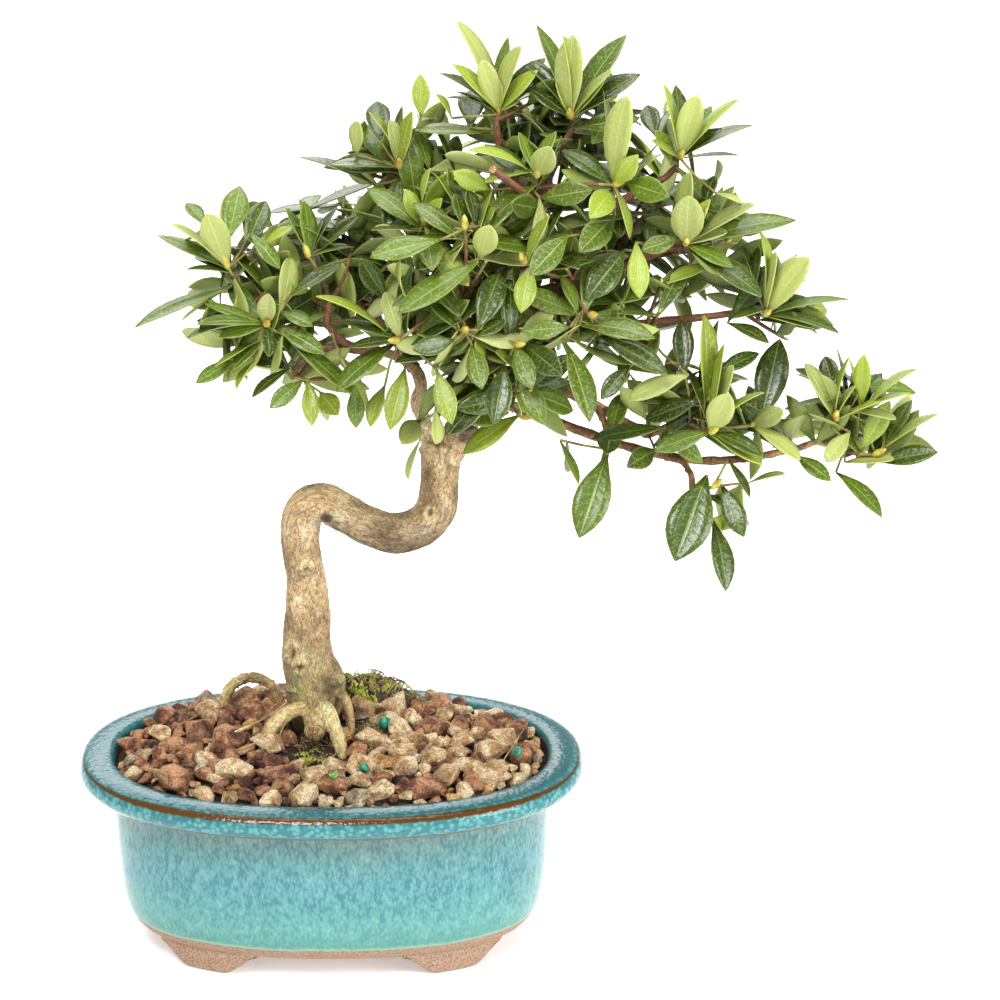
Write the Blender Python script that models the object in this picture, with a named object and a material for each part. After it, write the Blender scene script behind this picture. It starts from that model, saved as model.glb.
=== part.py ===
"""Azalea bonsai in a glazed oval pot.

Metres, +Z up, the long side of the pot along X and its front towards -Y.  Everything is first
laid out from the middle of the pot, at the level that its feet stand on, and at the end the
whole part is moved so that the origin is at the bottom centre of its box.
"""
import math
import random

import bmesh
import bpy
import numpy as np
from mathutils import Matrix, Vector

MM = 0.001
GAP = 0.3 * MM                    # clearance between pieces that rest on each other

# Pot: a slip-cast oval with a wide flat rim, on four bracket feet
POT_HALF_LENGTH = 84.6 * MM
POT_HALF_DEPTH = 58.5 * MM
OVAL_POWER = 2.3                  # 2 is an ellipse, higher is squarer
POT_SIDES = 40
FOOT_HEIGHT = 7.0 * MM
FLOOR_TOP = 12.5 * MM
# (inset from the rim's outline, height) up the outside and over the rim, in mm
POT_OUTSIDE = ((22.5, 7.0), (18.6, 8.6), (15.2, 13.0), (13.2, 21.0), (12.0, 34.0), (10.9, 54.0),
               (7.5, 55.2), (2.2, 58.0), (0.0, 61.8), (0.8, 65.4), (5.2, 67.5), (9.6, 67.0))
# (inset, height) down the inside wall
POT_INSIDE = ((10.6, 65.4), (15.5, 54.0), (17.0, 34.0), (18.8, 21.0), (22.0, 15.0), (26.0, 12.5))

# Feet: (middle of the foot, half of its length) as angles round the oval, and its plan
FOOT_ANGLES = (52.0, 128.0, 232.0, 308.0)
FOOT_HALF_ANGLE = 19.5
FOOT_OUTER_INSET = 17.5 * MM
FOOT_INNER_INSET = 31.0 * MM
FOOT_SINK = 2.0 * MM              # how far a foot runs up into the pot's floor
FOOT_SHOULDER = 1.5 * MM          # the foot's outer face leans in by this at its top
FOOT_TAPER = 2.2 * MM             # and its plan narrows by this towards the ground
FOOT_END_LIFT = 0.2 * MM          # its ends stop this far inside the pot's underside
FOOT_STEPS = 10
FOOT_FLAT = 0.42                  # share of the foot's length that is full height

# Soil mound and its dressing of stones
MOUND_EDGE = 62.5 * MM
MOUND_RISE = 8.5 * MM
MOUND_POWER = 3.0
MOUND_RINGS = (1.0, 0.92, 0.78, 0.55, 0.28)     # shares of the way out, from the wall in
STONE_TRIES = 900
STONE_RADIUS = (3.6 * MM, 5.4 * MM)
STONE_SPACING = 2.2               # distance between stones, in radii
STONE_SEED = 5
STONE_CLEAR = 19.0 * MM           # stones keep this far from the middle of the trunk's foot
STONE_ROOT_CLEAR = 4.0 * MM       # and this far from a root
STONE_WALL_CLEAR = 1.25           # in radii, from the pot's wall
STONE_MOSS_CLEAR = 1.4            # in radii, from the moss
STONE_STAND = 0.25                # in radii, how far a stone's middle stands over the soil
STONE_BLOCK = 1.5                 # a stone's block, in radii, and how it is stretched
STONE_STRETCH = ((0.8, 1.25), (0.75, 1.0), (0.6, 0.9))
STONE_ROUGH = (0.7, 1.1)          # each corner is moved in or out within this

# Bank of moss behind the trunk
MOSS_CENTRE = (9.0 * MM, 30.5 * MM)
MOSS_HALF_WIDTH = 23.0 * MM
MOSS_HALF_DEPTH = 11.5 * MM
MOSS_SIDES = 20
MOSS_LUMP = 0.15                  # three lumps round the bank, turning towards its top
MOSS_LUMPS = 3
MOSS_TURN = 9.0
# (share of the way out, height over the soil in mm) from its hidden foot to its top
MOSS_PROFILE = ((1.0, -1.5), (1.0, 1.0), (0.88, 4.2), (0.66, 8.0), (0.38, 10.4), (0.12, 11.2))

# Wood.  A limb is (x, y, z, radius) in mm from the pot's middle, smoothed between the rows.
TRUNK_SIDES = 10
BOUGH_SIDES = 6
TWIG_SIDES = 3
TRUNK_FOOT = 71.3                 # height of the flat cut at soil level, mm
TRUNK = ((-5.6, 7.0, TRUNK_FOOT, 13.4), (-5.8, 7.4, 77.0, 11.6), (-6.6, 8.0, 86.0, 10.2),
         (-8.0, 8.0, 97.0, 9.0), (-7.8, 8.0, 113.0, 7.7), (-8.2, 8.0, 127.0, 6.8),
         (-9.8, 6.6, 140.0, 6.5), (-8.4, 5.0, 150.6, 6.5), (-2.0, 4.0, 154.4, 6.5),
         (5.4, 3.0, 151.0, 6.5), (14.7, 1.6, 146.2, 6.5), (22.8, 1.6, 144.0, 6.9),
         (30.6, 2.2, 146.6, 7.0), (35.6, 3.2, 152.6, 6.7), (36.6, 4.6, 161.0, 6.3),
         (37.4, 5.0, 169.0, 6.6), (38.4, 5.0, 175.5, 7.6))
FOOT_BELOW = (-5.6, 7.0, TRUNK_FOOT - 3.0, 14.0)
# Roots that show round the foot: each runs from inside the trunk down to the soil
ROOTS = {
    "front_left": ((-7.0, 3.0, 82.0, 4.6), (-13.0, -2.0, 80.0, 4.4), (-18.5, -7.0, 75.0, 3.6),
                   (-21.0, -9.5, TRUNK_FOOT, 3.0)),
    "front_right": ((-2.0, 2.0, 83.0, 5.0), (2.5, -7.0, 80.0, 4.6), (4.6, -15.0, 76.0, 4.0),
                    (5.2, -20.5, TRUNK_FOOT, 2.4)),
    "right": ((0.0, 9.0, 84.0, 4.0), (6.0, 4.0, 80.5, 2.8), (7.6, 1.0, 76.0, 2.2),
              (8.0, 0.0, TRUNK_FOOT, 2.0)),
    "back": ((-5.0, 12.0, 82.0, 5.0), (-8.0, 20.0, 77.0, 4.0), (-9.0, 24.0, TRUNK_FOOT, 3.2)),
    "left": ((-10.0, 9.0, 82.0, 5.0), (-19.0, 10.0, 77.0, 3.6), (-24.0, 9.5, TRUNK_FOOT, 2.6)),
}
# Sawn-off stub between the front roots: middle of its cut, direction it grew from, radius
STUB = ((-6.0, 2.0, 79.0, 4.2), (-6.4, -9.5, 75.8, 3.9))

# Old root that arches over the stones at the left
ROOT_LOOP = ((-36.8, 22.0, 66.0, 1.9), (-36.0, 22.0, 75.0, 2.0), (-33.0, 22.0, 81.0, 2.1),
             (-27.5, 21.5, 83.0, 2.1), (-22.5, 20.5, 80.0, 1.9), (-20.0, 19.5, 75.0, 1.8),
             (-19.5, 19.0, 66.0, 1.7))

# Boughs: parent limb, then rows.  A bough starts inside its parent and is cut back clear of it,
# and its last row is where it enters its mass of leaves.
BOUGHS = {
    "bough_leader": ("trunk", (
        (39.6, 5.0, 172.0, 5.8), (44.0, 5.0, 180.5, 5.0), (48.0, 5.0, 187.5, 4.4),
        (51.0, 4.8, 195.5, 3.4), (55.0, 4.0, 206.0, 2.9), (61.0, 4.5, 224.0, 2.5),
        (66.0, 6.0, 243.0, 2.2), (69.0, 6.0, 258.0, 1.9), (74.0, 4.5, 270.0, 1.6))),
    "bough_left": ("trunk", (
        (35.0, 4.8, 171.0, 3.0), (31.6, 4.2, 183.0, 2.6), (29.6, 3.0, 190.0, 2.4),
        (31.0, 2.0, 196.0, 2.2), (28.0, 0.0, 203.0, 2.0), (20.0, -3.0, 208.5, 1.8),
        (8.0, -6.0, 211.0, 1.6), (-6.0, -8.0, 212.5, 1.5), (-16.0, -8.5, 216.0, 1.3))),
    "bough_top_left": ("bough_leader", (
        (67.6, 6.0, 250.0, 1.6), (63.0, 3.0, 261.0, 1.5), (57.5, 0.0, 274.0, 1.3))),
    "bough_top_right": ("bough_leader", (
        (61.5, 4.6, 227.0, 1.8), (77.0, 6.5, 243.0, 1.6), (95.0, 5.0, 257.0, 1.4),
        (108.0, 3.0, 265.0, 1.2))),
    "bough_right_upper": ("bough_leader", (
        (56.5, 4.1, 210.0, 1.9), (72.0, -0.5, 224.0, 1.7), (92.0, -2.0, 235.0, 1.5),
        (108.0, -3.5, 243.0, 1.3))),
    "bough_right_middle": ("bough_leader", (
        (53.5, 4.2, 202.0, 1.9), (72.0, 4.6, 210.0, 1.7), (98.0, 4.0, 215.5, 1.5),
        (124.0, 3.0, 219.0, 1.2))),
    "bough_right_low": ("bough_leader", (
        (51.5, 4.8, 197.0, 2.0), (60.0, 0.6, 201.0, 1.9), (68.5, 0.0, 199.2, 1.8),
        (77.5, -1.0, 195.0, 1.7), (88.4, -2.5, 190.0, 1.6), (96.0, -4.0, 186.0, 1.5),
        (103.0, -6.0, 182.5, 1.4))),
    "bough_outer": ("bough_leader", (
        (49.5, 5.0, 191.0, 1.9), (60.0, 7.6, 187.0, 1.8), (76.5, 8.0, 180.5, 1.6),
        (98.0, 7.0, 173.0, 1.5), (120.0, 3.0, 169.5, 1.4), (137.0, 0.0, 171.0, 1.3),
        (151.0, -1.0, 174.0, 1.1))),
    "bough_low_spray": ("bough_right_low", (
        (88.4, -2.5, 190.0, 1.2), (91.0, -8.0, 185.5, 1.1), (91.5, -11.0, 181.0, 1.0))),
    "bough_hanging": ("bough_outer", (
        (112.0, 4.4, 170.2, 1.2), (116.5, -3.0, 171.0, 1.1), (118.5, -8.0, 169.5, 1.0))),
    "bough_left_inner": ("bough_left", (
        (10.0, -5.6, 210.8, 1.4), (5.0, -10.5, 215.5, 1.2), (2.0, -13.0, 220.0, 1.1))),
    "bough_left_low": ("bough_left", (
        (-4.0, -7.9, 212.3, 1.4), (-7.5, -10.0, 209.0, 1.2), (-9.5, -11.5, 206.0, 1.1))),
    "bough_left_back": ("bough_left", (
        (28.6, 0.4, 202.2, 1.7), (21.0, 9.0, 211.0, 1.5), (12.0, 16.0, 219.0, 1.3))),
    "bough_upper_left": ("bough_leader", (
        (60.4, 4.4, 222.0, 1.9), (48.0, 4.0, 238.0, 1.6), (36.0, 4.0, 251.0, 1.4),
        (30.0, 4.5, 257.5, 1.2))),
    "bough_front_low": ("bough_leader", (
        (50.4, 4.8, 193.5, 1.7), (51.5, -4.0, 196.5, 1.5), (52.0, -9.5, 198.5, 1.3))),
    "bough_front_left": ("bough_leader", (
        (55.6, 4.0, 208.0, 1.7), (50.5, -6.0, 216.0, 1.5), (46.5, -13.0, 223.0, 1.3))),
    "bough_front_right": ("bough_leader", (
        (59.0, 4.3, 218.0, 1.7), (66.5, -7.0, 229.5, 1.5), (74.0, -14.0, 234.5, 1.3))),
    "bough_front_top": ("bough_leader", (
        (66.8, 6.0, 247.0, 1.6), (66.0, -3.0, 256.5, 1.4), (66.0, -10.0, 261.5, 1.2))),
    "bough_right_inner": ("bough_right_middle", (
        (85.0, 4.3, 213.0, 1.4), (92.0, -3.0, 214.0, 1.3), (97.0, -6.5, 216.5, 1.1))),
    "bough_back": ("bough_leader", (
        (52.0, 4.7, 198.6, 2.0), (53.0, 14.0, 207.5, 1.7), (55.0, 20.5, 215.5, 1.4))),
    "bough_back_right": ("bough_leader", (
        (58.0, 4.2, 215.0, 1.8), (71.0, 13.5, 221.0, 1.6), (83.5, 20.5, 226.0, 1.3))),
    "bough_back_top": ("bough_leader", (
        (66.4, 6.0, 245.0, 1.6), (70.0, 12.0, 252.5, 1.4), (72.0, 15.5, 257.5, 1.2))),
}

# Masses of leaves: the bough that carries each, the middle and half-sizes of its space (mm),
# how many shoots branch from its stem, and how far its shoots turn up (down below 0).
MASSES = {
    "leaves_left_outer": ("bough_left", (-31.0, -8.0, 233.0), (31.0, 26.0, 33.0), 6, 0.4),
    "leaves_left_inner": ("bough_left_inner", (2.0, -15.0, 236.0), (27.0, 24.0, 26.0), 6, 0.3),
    "leaves_left_low": ("bough_left_low", (-8.0, -12.0, 201.0), (32.0, 23.0, 20.0), 5, -0.5),
    "leaves_left_back": ("bough_left_back", (1.0, 27.0, 230.0), (31.0, 27.0, 32.0), 7, 0.3),
    "leaves_upper_left": ("bough_upper_left", (22.0, 5.0, 269.0), (28.0, 27.0, 26.0), 6, 0.5),
    "leaves_top_left": ("bough_top_left", (54.0, -2.0, 295.0), (22.0, 23.0, 24.5), 6, 0.7),
    "leaves_top": ("bough_leader", (86.0, 0.0, 295.0), (22.0, 23.0, 24.5), 6, 0.7),
    "leaves_top_right": ("bough_top_right", (118.0, 2.0, 274.0), (22.0, 23.0, 23.0), 6, 0.6),
    "leaves_right_upper": ("bough_right_upper", (128.0, -5.0, 246.0), (27.0, 25.0, 20.0), 6, 0.2),
    "leaves_right_middle": ("bough_right_middle", (144.0, 3.0, 222.0), (27.0, 23.0, 18.0), 5, 0.1),
    "leaves_front_left": ("bough_front_left", (42.0, -27.0, 238.0), (28.0, 27.0, 30.0), 8, 0.2),
    "leaves_front_right": ("bough_front_right", (84.0, -27.0, 242.0), (28.0, 27.0, 30.0), 8, 0.2),
    "leaves_front_low": ("bough_front_low", (57.0, -20.0, 202.0), (33.0, 22.0, 20.0), 6, -0.4),
    "leaves_front_top": ("bough_front_top", (67.0, -22.0, 273.0), (29.0, 24.0, 25.0), 6, 0.4),
    "leaves_right_inner": ("bough_right_inner", (108.0, -14.0, 220.0), (24.0, 25.0, 23.0), 5, 0.1),
    "leaves_back": ("bough_back", (56.0, 35.0, 226.0), (34.0, 28.0, 38.0), 9, 0.2),
    "leaves_back_right": ("bough_back_right", (100.0, 33.0, 232.0), (31.0, 28.0, 36.0), 9, 0.3),
    "leaves_back_top": ("bough_back_top", (74.0, 27.0, 271.0), (32.0, 25.0, 27.0), 7, 0.5),
    "leaves_right_pad": ("bough_right_low", (126.0, -6.0, 190.0), (30.0, 27.0, 27.0), 8, 0.2),
    "leaves_outer_pad": ("bough_outer", (170.0, -2.0, 181.0), (32.0, 25.0, 25.0), 8, 0.2),
    "leaves_low_spray": ("bough_low_spray", (88.0, -15.0, 162.0), (20.0, 17.0, 25.0), 2, -0.9),
    "leaves_hanging": ("bough_hanging", (121.0, -14.0, 150.0), (21.0, 18.0, 24.0), 3, -0.9),
}
SPACE_MARGIN = 0.02               # share of a space's size left free at its borders
LIMB_CLEAR = 0.6 * MM             # least distance from a leaf or twig to a limb
STEM_RADIUS = 1.2 * MM
STEM_STRAIGHT = 2.5 * MM          # the stem leaves its bough straight on
STEM_SHARE = 0.6                  # the stem runs this far from the bough's tip to the middle
FORK_SHARES = (0.1, 0.4, 0.7, 0.95)   # where shoots can branch from the stem
SHOOT_RADIUS = 0.8 * MM
SHOOT_SPOTS = 240                 # random places tried for the shoots' ends
SHOOT_BORDER = 0.62               # shoots end within this share of their space
SHOOT_TESTS = (0.35, 0.6, 0.8, 1.0)   # shares of a shoot's length tested for room
BUD_RADIUS = 2.0 * MM
BUD_TURNS = 6                     # turns of a bud tried for the fullest whorl
LEAF_LENGTH = (24.0 * MM, 31.0 * MM)
LEAF_WIDTH_SHARE = 0.56
LEAF_THICK = 0.8 * MM
LEAF_WIDEST = 0.5                 # share of a leaf's length at which it is widest
LEAF_APART = 2.0 * MM             # least distance between leaves past their roots
LEAF_WANDER = 0.35                # how far a leaf may lean from its bud's face
LEAF_LIFT = 0.25                  # how far a mass's lift turns its leaves
LEAF_ROOT = 0.8                   # leaves start this far out in their bud
LEAF_TRIES = 4
LEAST_CROSS = 0.2                 # below this a leaf lies along its shoot and may roll freely
LEAF_SHRINK = (1.0, 0.85, 0.72)   # lengths tried for a leaf that would leave its space
LEAST_LEAVES = 3                  # a shoot with fewer is left out
LIMB_STEPS = 8                    # places taken along each limb's rows when room is tested
MASS_SOLVER = "MANIFOLD"
LEAF_SEED = 11
UP = Vector((0, 0, 1))

TRUNK_PLACE = (TRUNK[0][0] * MM, TRUNK[0][1] * MM)
ROOT_SPOTS = [(row[0] * MM, row[1] * MM) for rows in (*ROOTS.values(), STUB, ROOT_LOOP)
              for row in rows]

part = bpy.data.collections.new("azalea_bonsai")
cutters = bpy.data.collections.new("cutters")


# ------------------------------------------------------------------ small helpers
def material(name, colour, roughness):
    """A plain Principled material."""
    finish = bpy.data.materials.new(name)
    finish.use_nodes = True
    shader = finish.node_tree.nodes["Principled BSDF"]
    shader.inputs["Base Color"].default_value = (*colour, 1.0)
    shader.inputs["Roughness"].default_value = roughness
    return finish


def new_object(name, bm, collection=part, finish=None):
    """An object from a bmesh whose faces are turned outwards."""
    bmesh.ops.recalc_face_normals(bm, faces=bm.faces[:])
    mesh = bpy.data.meshes.new(name)
    bm.to_mesh(mesh)
    bm.free()
    piece = bpy.data.objects.new(name, mesh)
    collection.objects.link(piece)
    if finish:
        mesh.materials.append(finish)
    if collection is cutters:
        piece.hide_render = True
        piece.display_type = "WIRE"
    return piece


def loft(bm, rings):
    """A closed skin over rings of points with one count, capped flat at both ends."""
    loops = [[bm.verts.new(point) for point in ring] for ring in rings]
    for low, high in zip(loops, loops[1:]):
        for i, start in enumerate(low):
            j = (i + 1) % len(low)
            bm.faces.new((start, low[j], high[j], high[i]))
    bm.faces.new(loops[0][::-1])
    bm.faces.new(loops[-1])


def apply_boolean(piece, operation, other, solver="EXACT"):
    """Joins or cuts a piece with an object or a whole collection, and applies it."""
    change = piece.modifiers.new(operation.lower(), "BOOLEAN")
    change.operation = operation
    change.solver = solver
    if isinstance(other, bpy.types.Collection):
        change.operand_type = "COLLECTION"
        change.collection = other
    else:
        change.object = other
    seen = piece.evaluated_get(bpy.context.evaluated_depsgraph_get())
    mesh = bpy.data.meshes.new_from_object(seen)
    piece.modifiers.clear()
    piece.data = mesh


def keep_one_body(piece):
    """Drops loose scraps and sealed hollows, so that one closed skin is left."""
    bm = bmesh.new()
    bm.from_mesh(piece.data)
    bmesh.ops.remove_doubles(bm, verts=bm.verts[:], dist=1e-6)
    bmesh.ops.triangulate(bm, faces=bm.faces[:])
    islands = []
    waiting = set(bm.faces)
    while waiting:
        island = {waiting.pop()}
        edge_of_island = list(island)
        while edge_of_island:
            face = edge_of_island.pop()
            for edge in face.edges:
                for other in edge.link_faces:
                    if other in waiting:
                        waiting.remove(other)
                        island.add(other)
                        edge_of_island.append(other)
        islands.append(island)
    largest = max(islands, key=len)
    scraps = [face for island in islands if island is not largest for face in island]
    bmesh.ops.delete(bm, geom=scraps, context="FACES")
    bm.to_mesh(piece.data)
    bm.free()


def remove(*pieces):
    for piece in pieces:
        bpy.data.objects.remove(piece)


# ------------------------------------------------------------------ pot
def oval(inset, height, sides=POT_SIDES):
    """A ring of the pot's oval outline, drawn in by the inset."""
    ring = []
    for i in range(sides):
        ring.append(oval_point(2 * math.pi * i / sides, inset, height))
    return ring


def oval_point(angle, inset, height):
    along, across = math.cos(angle), math.sin(angle)
    power = 2 / OVAL_POWER
    x = (POT_HALF_LENGTH - inset) * math.copysign(abs(along) ** power, along)
    y = (POT_HALF_DEPTH - inset) * math.copysign(abs(across) ** power, across)
    return Vector((x, y, height))


def make_foot(middle):
    """A bracket foot that follows the wall, full height in the middle and scalloped at its ends."""
    rings = []
    for step in range(FOOT_STEPS + 1):
        share = 2 * step / FOOT_STEPS - 1
        angle = math.radians(middle + share * FOOT_HALF_ANGLE)
        slope = (1 - abs(share)) / (1 - FOOT_FLAT)
        drop = FOOT_HEIGHT * (1 - 0.5 * (1 + math.cos(math.pi * min(slope, 1.0))))
        low = (FOOT_HEIGHT + FOOT_END_LIFT) * (1 - drop / FOOT_HEIGHT)
        high = FOOT_HEIGHT + FOOT_SINK
        narrow = FOOT_TAPER * drop / FOOT_HEIGHT
        rings.append((oval_point(angle, FOOT_OUTER_INSET + FOOT_SHOULDER, high),
                      oval_point(angle, FOOT_INNER_INSET, high),
                      oval_point(angle, FOOT_INNER_INSET - narrow, low),
                      oval_point(angle, FOOT_OUTER_INSET + narrow, low)))
    bm = bmesh.new()
    loft(bm, rings)
    return new_object("foot", bm, cutters)


def make_pot(finish):
    """The glazed bowl with its four feet."""
    rings = [oval(inset * MM, height * MM) for inset, height in POT_OUTSIDE + POT_INSIDE]
    bm = bmesh.new()
    loft(bm, rings)
    pot = new_object("pot", bm, finish=finish)
    for middle in FOOT_ANGLES:
        foot = make_foot(middle)
        apply_boolean(pot, "UNION", foot)
        remove(foot)


# ------------------------------------------------------------------ soil, stones, moss
def inner_inset(height):
    """The inset of the pot's inside wall at a height."""
    for (upper, top), (lower, bottom) in zip(POT_INSIDE, POT_INSIDE[1:]):
        if bottom * MM <= height <= top * MM:
            share = (height - bottom * MM) / ((top - bottom) * MM)
            return (lower + (upper - lower) * share) * MM
    return POT_INSIDE[-1][0] * MM


def mound_height(x, y):
    """The soil's surface: nearly level round the trunk and falling to the pot's wall."""
    inset = inner_inset(MOUND_EDGE) + GAP
    across = abs(x) / (POT_HALF_LENGTH - inset)
    along = abs(y) / (POT_HALF_DEPTH - inset)
    out = (across ** OVAL_POWER + along ** OVAL_POWER) ** (1 / OVAL_POWER)
    return MOUND_EDGE + MOUND_RISE * (1 - min(out, 1.0) ** MOUND_POWER)


def in_moss(x, y, margin=0.0):
    across = (x - MOSS_CENTRE[0]) / (MOSS_HALF_WIDTH + margin)
    along = (y - MOSS_CENTRE[1]) / (MOSS_HALF_DEPTH + margin)
    return across * across + along * along < 1


def make_stone(rng, place, radius):
    """One crushed stone, a rough block with uneven corners."""
    bm = bmesh.new()
    bmesh.ops.create_cube(bm, size=STONE_BLOCK * radius)
    turn = rng.uniform(0, math.pi)
    stretch = Vector([rng.uniform(*limits) for limits in STONE_STRETCH])
    for vert in bm.verts:
        point = Vector([a * b * rng.uniform(*STONE_ROUGH) for a, b in zip(vert.co, stretch)])
        spun = Vector((point.x * math.cos(turn) - point.y * math.sin(turn),
                       point.x * math.sin(turn) + point.y * math.cos(turn), point.z))
        vert.co = spun + place
    return bm


def make_mound(name, lift, collection, finish=None):
    """The soil's body.  Lifted by the gap, it cuts what rests on the soil clear of it."""
    rings = []
    for inset, height in POT_INSIDE[::-1]:
        if height * MM < MOUND_EDGE:
            floor_gap = GAP if height * MM <= FLOOR_TOP else 0.0
            rings.append(oval(inset * MM + GAP, height * MM + floor_gap))
    edge_inset = inner_inset(MOUND_EDGE) + GAP
    for share in MOUND_RINGS:
        rings.append([Vector((p.x * share, p.y * share,
                              mound_height(p.x * share, p.y * share) + lift))
                      for p in oval(edge_inset, 0.0)])
    bm = bmesh.new()
    loft(bm, rings)
    return new_object(name, bm, collection, finish)


def make_gravel(finish):
    """The soil that fills the pot, mounded, with crushed stones fused on its surface."""
    gravel = make_mound("gravel", 0.0, part, finish)

    rng = random.Random(STONE_SEED)
    stones = bpy.data.collections.new("stones")
    placed = []
    for _ in range(STONE_TRIES):
        x = rng.uniform(-1, 1) * POT_HALF_LENGTH
        y = rng.uniform(-1, 1) * POT_HALF_DEPTH
        radius = rng.uniform(*STONE_RADIUS)
        inset = inner_inset(MOUND_EDGE) + radius * STONE_WALL_CLEAR + 2 * GAP
        across = abs(x) / (POT_HALF_LENGTH - inset)
        along = abs(y) / (POT_HALF_DEPTH - inset)
        if across ** OVAL_POWER + along ** OVAL_POWER > 1:
            continue
        if math.dist((x, y), TRUNK_PLACE) < STONE_CLEAR:
            continue
        if in_moss(x, y, STONE_MOSS_CLEAR * radius):
            continue
        if any(math.dist((x, y), spot) < STONE_SPACING * radius for spot in placed):
            continue
        if any(math.dist((x, y), spot) < radius + STONE_ROOT_CLEAR for spot in ROOT_SPOTS):
            continue
        placed.append((x, y))
        place = Vector((x, y, mound_height(x, y) + STONE_STAND * radius))
        new_object("stone", make_stone(rng, place, radius), stones)
    apply_boolean(gravel, "UNION", stones)
    remove(*stones.objects[:])
    keep_one_body(gravel)


def make_moss(finish):
    """A low bank of moss, highest in its middle, cut clear of the soil that it lies on."""
    rings = []
    for share, rise in MOSS_PROFILE:
        ring = []
        for i in range(MOSS_SIDES):
            angle = 2 * math.pi * i / MOSS_SIDES
            x = MOSS_CENTRE[0] + MOSS_HALF_WIDTH * share * math.cos(angle)
            y = MOSS_CENTRE[1] + MOSS_HALF_DEPTH * share * math.sin(angle)
            lump = 1 + MOSS_LUMP * math.sin(MOSS_LUMPS * angle + MOSS_TURN * share)
            ring.append(Vector((x, y, mound_height(x, y) + rise * lump * MM)))
        rings.append(ring)
    bm = bmesh.new()
    loft(bm, rings)
    moss = new_object("moss_bank", bm, finish=finish)
    for rows in ((FOOT_BELOW, *TRUNK), *ROOTS.values()):
        wood = make_limb("wood_cutter", rows, TRUNK_SIDES, swell=2 * GAP, collection=cutters)
        apply_boolean(moss, "DIFFERENCE", wood)
        remove(wood)
    sit_on_soil(moss)


def sit_on_soil(piece):
    """Cuts a piece off just clear of the soil's surface."""
    mound = make_mound("mound_cutter", GAP, cutters)
    apply_boolean(piece, "DIFFERENCE", mound)
    remove(mound)
    keep_one_body(piece)


# ------------------------------------------------------------------ wood
def smooth_rows(rows, steps):
    """Stations along a limb, as 4-part vectors of place and radius, on a curve through its rows."""
    knots = [Vector(row) * MM for row in rows]
    knots = [knots[0] * 2 - knots[1], *knots, knots[-1] * 2 - knots[-2]]
    stations = []
    for before, start, end, after in zip(knots, knots[1:], knots[2:], knots[3:]):
        for step in range(steps):
            t = step / steps
            stations.append(0.5 * (2 * start + (end - before) * t
                                   + (2 * before - 5 * start + 4 * end - after) * t ** 2
                                   + (3 * start - before - 3 * end + after) * t ** 3))
    stations.append(knots[-2])
    return stations


def limb_rings(stations, sides, swell=0.0):
    """Rings of points round a limb's stations, kept from twisting."""
    rings = []
    sideways = None
    for i, station in enumerate(stations):
        before = stations[max(i - 1, 0)]
        after = stations[min(i + 1, len(stations) - 1)]
        along = (after - before).xyz.normalized()
        if sideways is None:
            sideways = along.orthogonal().normalized()
        sideways = (sideways - along * sideways.dot(along)).normalized()
        across = along.cross(sideways)
        ring = []
        for k in range(sides):
            angle = 2 * math.pi * k / sides
            reach = (sideways * math.cos(angle) + across * math.sin(angle)) * (station.w + swell)
            ring.append(station.xyz + reach)
        rings.append(ring)
    return rings


def make_limb(name, rows, sides, steps=2, swell=0.0, collection=part, finish=None):
    bm = bmesh.new()
    loft(bm, limb_rings(smooth_rows(rows, steps), sides, swell))
    return new_object(name, bm, collection, finish)


def make_trunk(finish):
    """The trunk with the roots that show round its foot and a sawn stub, cut flat at the soil."""
    trunk = make_limb("trunk", (FOOT_BELOW, *TRUNK), TRUNK_SIDES, finish=finish)
    for rows in (*ROOTS.values(), STUB):
        root = make_limb("root", rows, BOUGH_SIDES + 1, collection=cutters)
        apply_boolean(trunk, "UNION", root)
        remove(root)
    bm = bmesh.new()
    bmesh.ops.create_cube(bm, size=POT_HALF_LENGTH)
    bmesh.ops.translate(bm, verts=bm.verts[:],
                        vec=(0, 0, TRUNK_FOOT * MM - POT_HALF_LENGTH / 2))
    ground = new_object("ground_cutter", bm, cutters)
    apply_boolean(trunk, "DIFFERENCE", ground)
    remove(ground)
    keep_one_body(trunk)


def make_root_loop(finish):
    """The old root that arches over the stones at the left."""
    loop = make_limb("root_loop", ROOT_LOOP, BOUGH_SIDES, finish=finish)
    sit_on_soil(loop)


def make_boughs(finish):
    """Each bough, cut back clear of its parent and of the boughs before it from that parent."""
    rows_of = {"trunk": TRUNK}
    parent_of = {}
    for name, (parent, rows) in BOUGHS.items():
        bough = make_limb(name, rows, BOUGH_SIDES, finish=finish)
        siblings = [other for other in parent_of if parent_of[other] == parent]
        for other in (parent, *siblings):
            sides = TRUNK_SIDES if other == "trunk" else BOUGH_SIDES
            cutter = make_limb("seat_cutter", rows_of[other], sides, swell=GAP,
                               collection=cutters)
            apply_boolean(bough, "DIFFERENCE", cutter)
            remove(cutter)
        keep_one_body(bough)
        rows_of[name] = rows
        parent_of[name] = parent


# ------------------------------------------------------------------ masses of leaves
def space_share(point, name):
    """How far out a point lies in a mass's space: 0 in its middle, 1 at its border."""
    _, centre, half_sizes, _, _ = MASSES[name]
    return math.sqrt(sum(((p - c * MM) / (h * MM)) ** 2
                         for p, c, h in zip(point, centre, half_sizes)))


def in_own_space(point, name):
    own = space_share(point, name)
    return own < 1 and all(own < space_share(point, other) - SPACE_MARGIN
                           for other in MASSES if other != name)


def clear_of_limbs(point, radius, limbs):
    places, radii = limbs
    away = np.sqrt(((places - np.array(point)) ** 2).sum(axis=1))
    return bool((away > radii + radius + LIMB_CLEAR).all())


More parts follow.
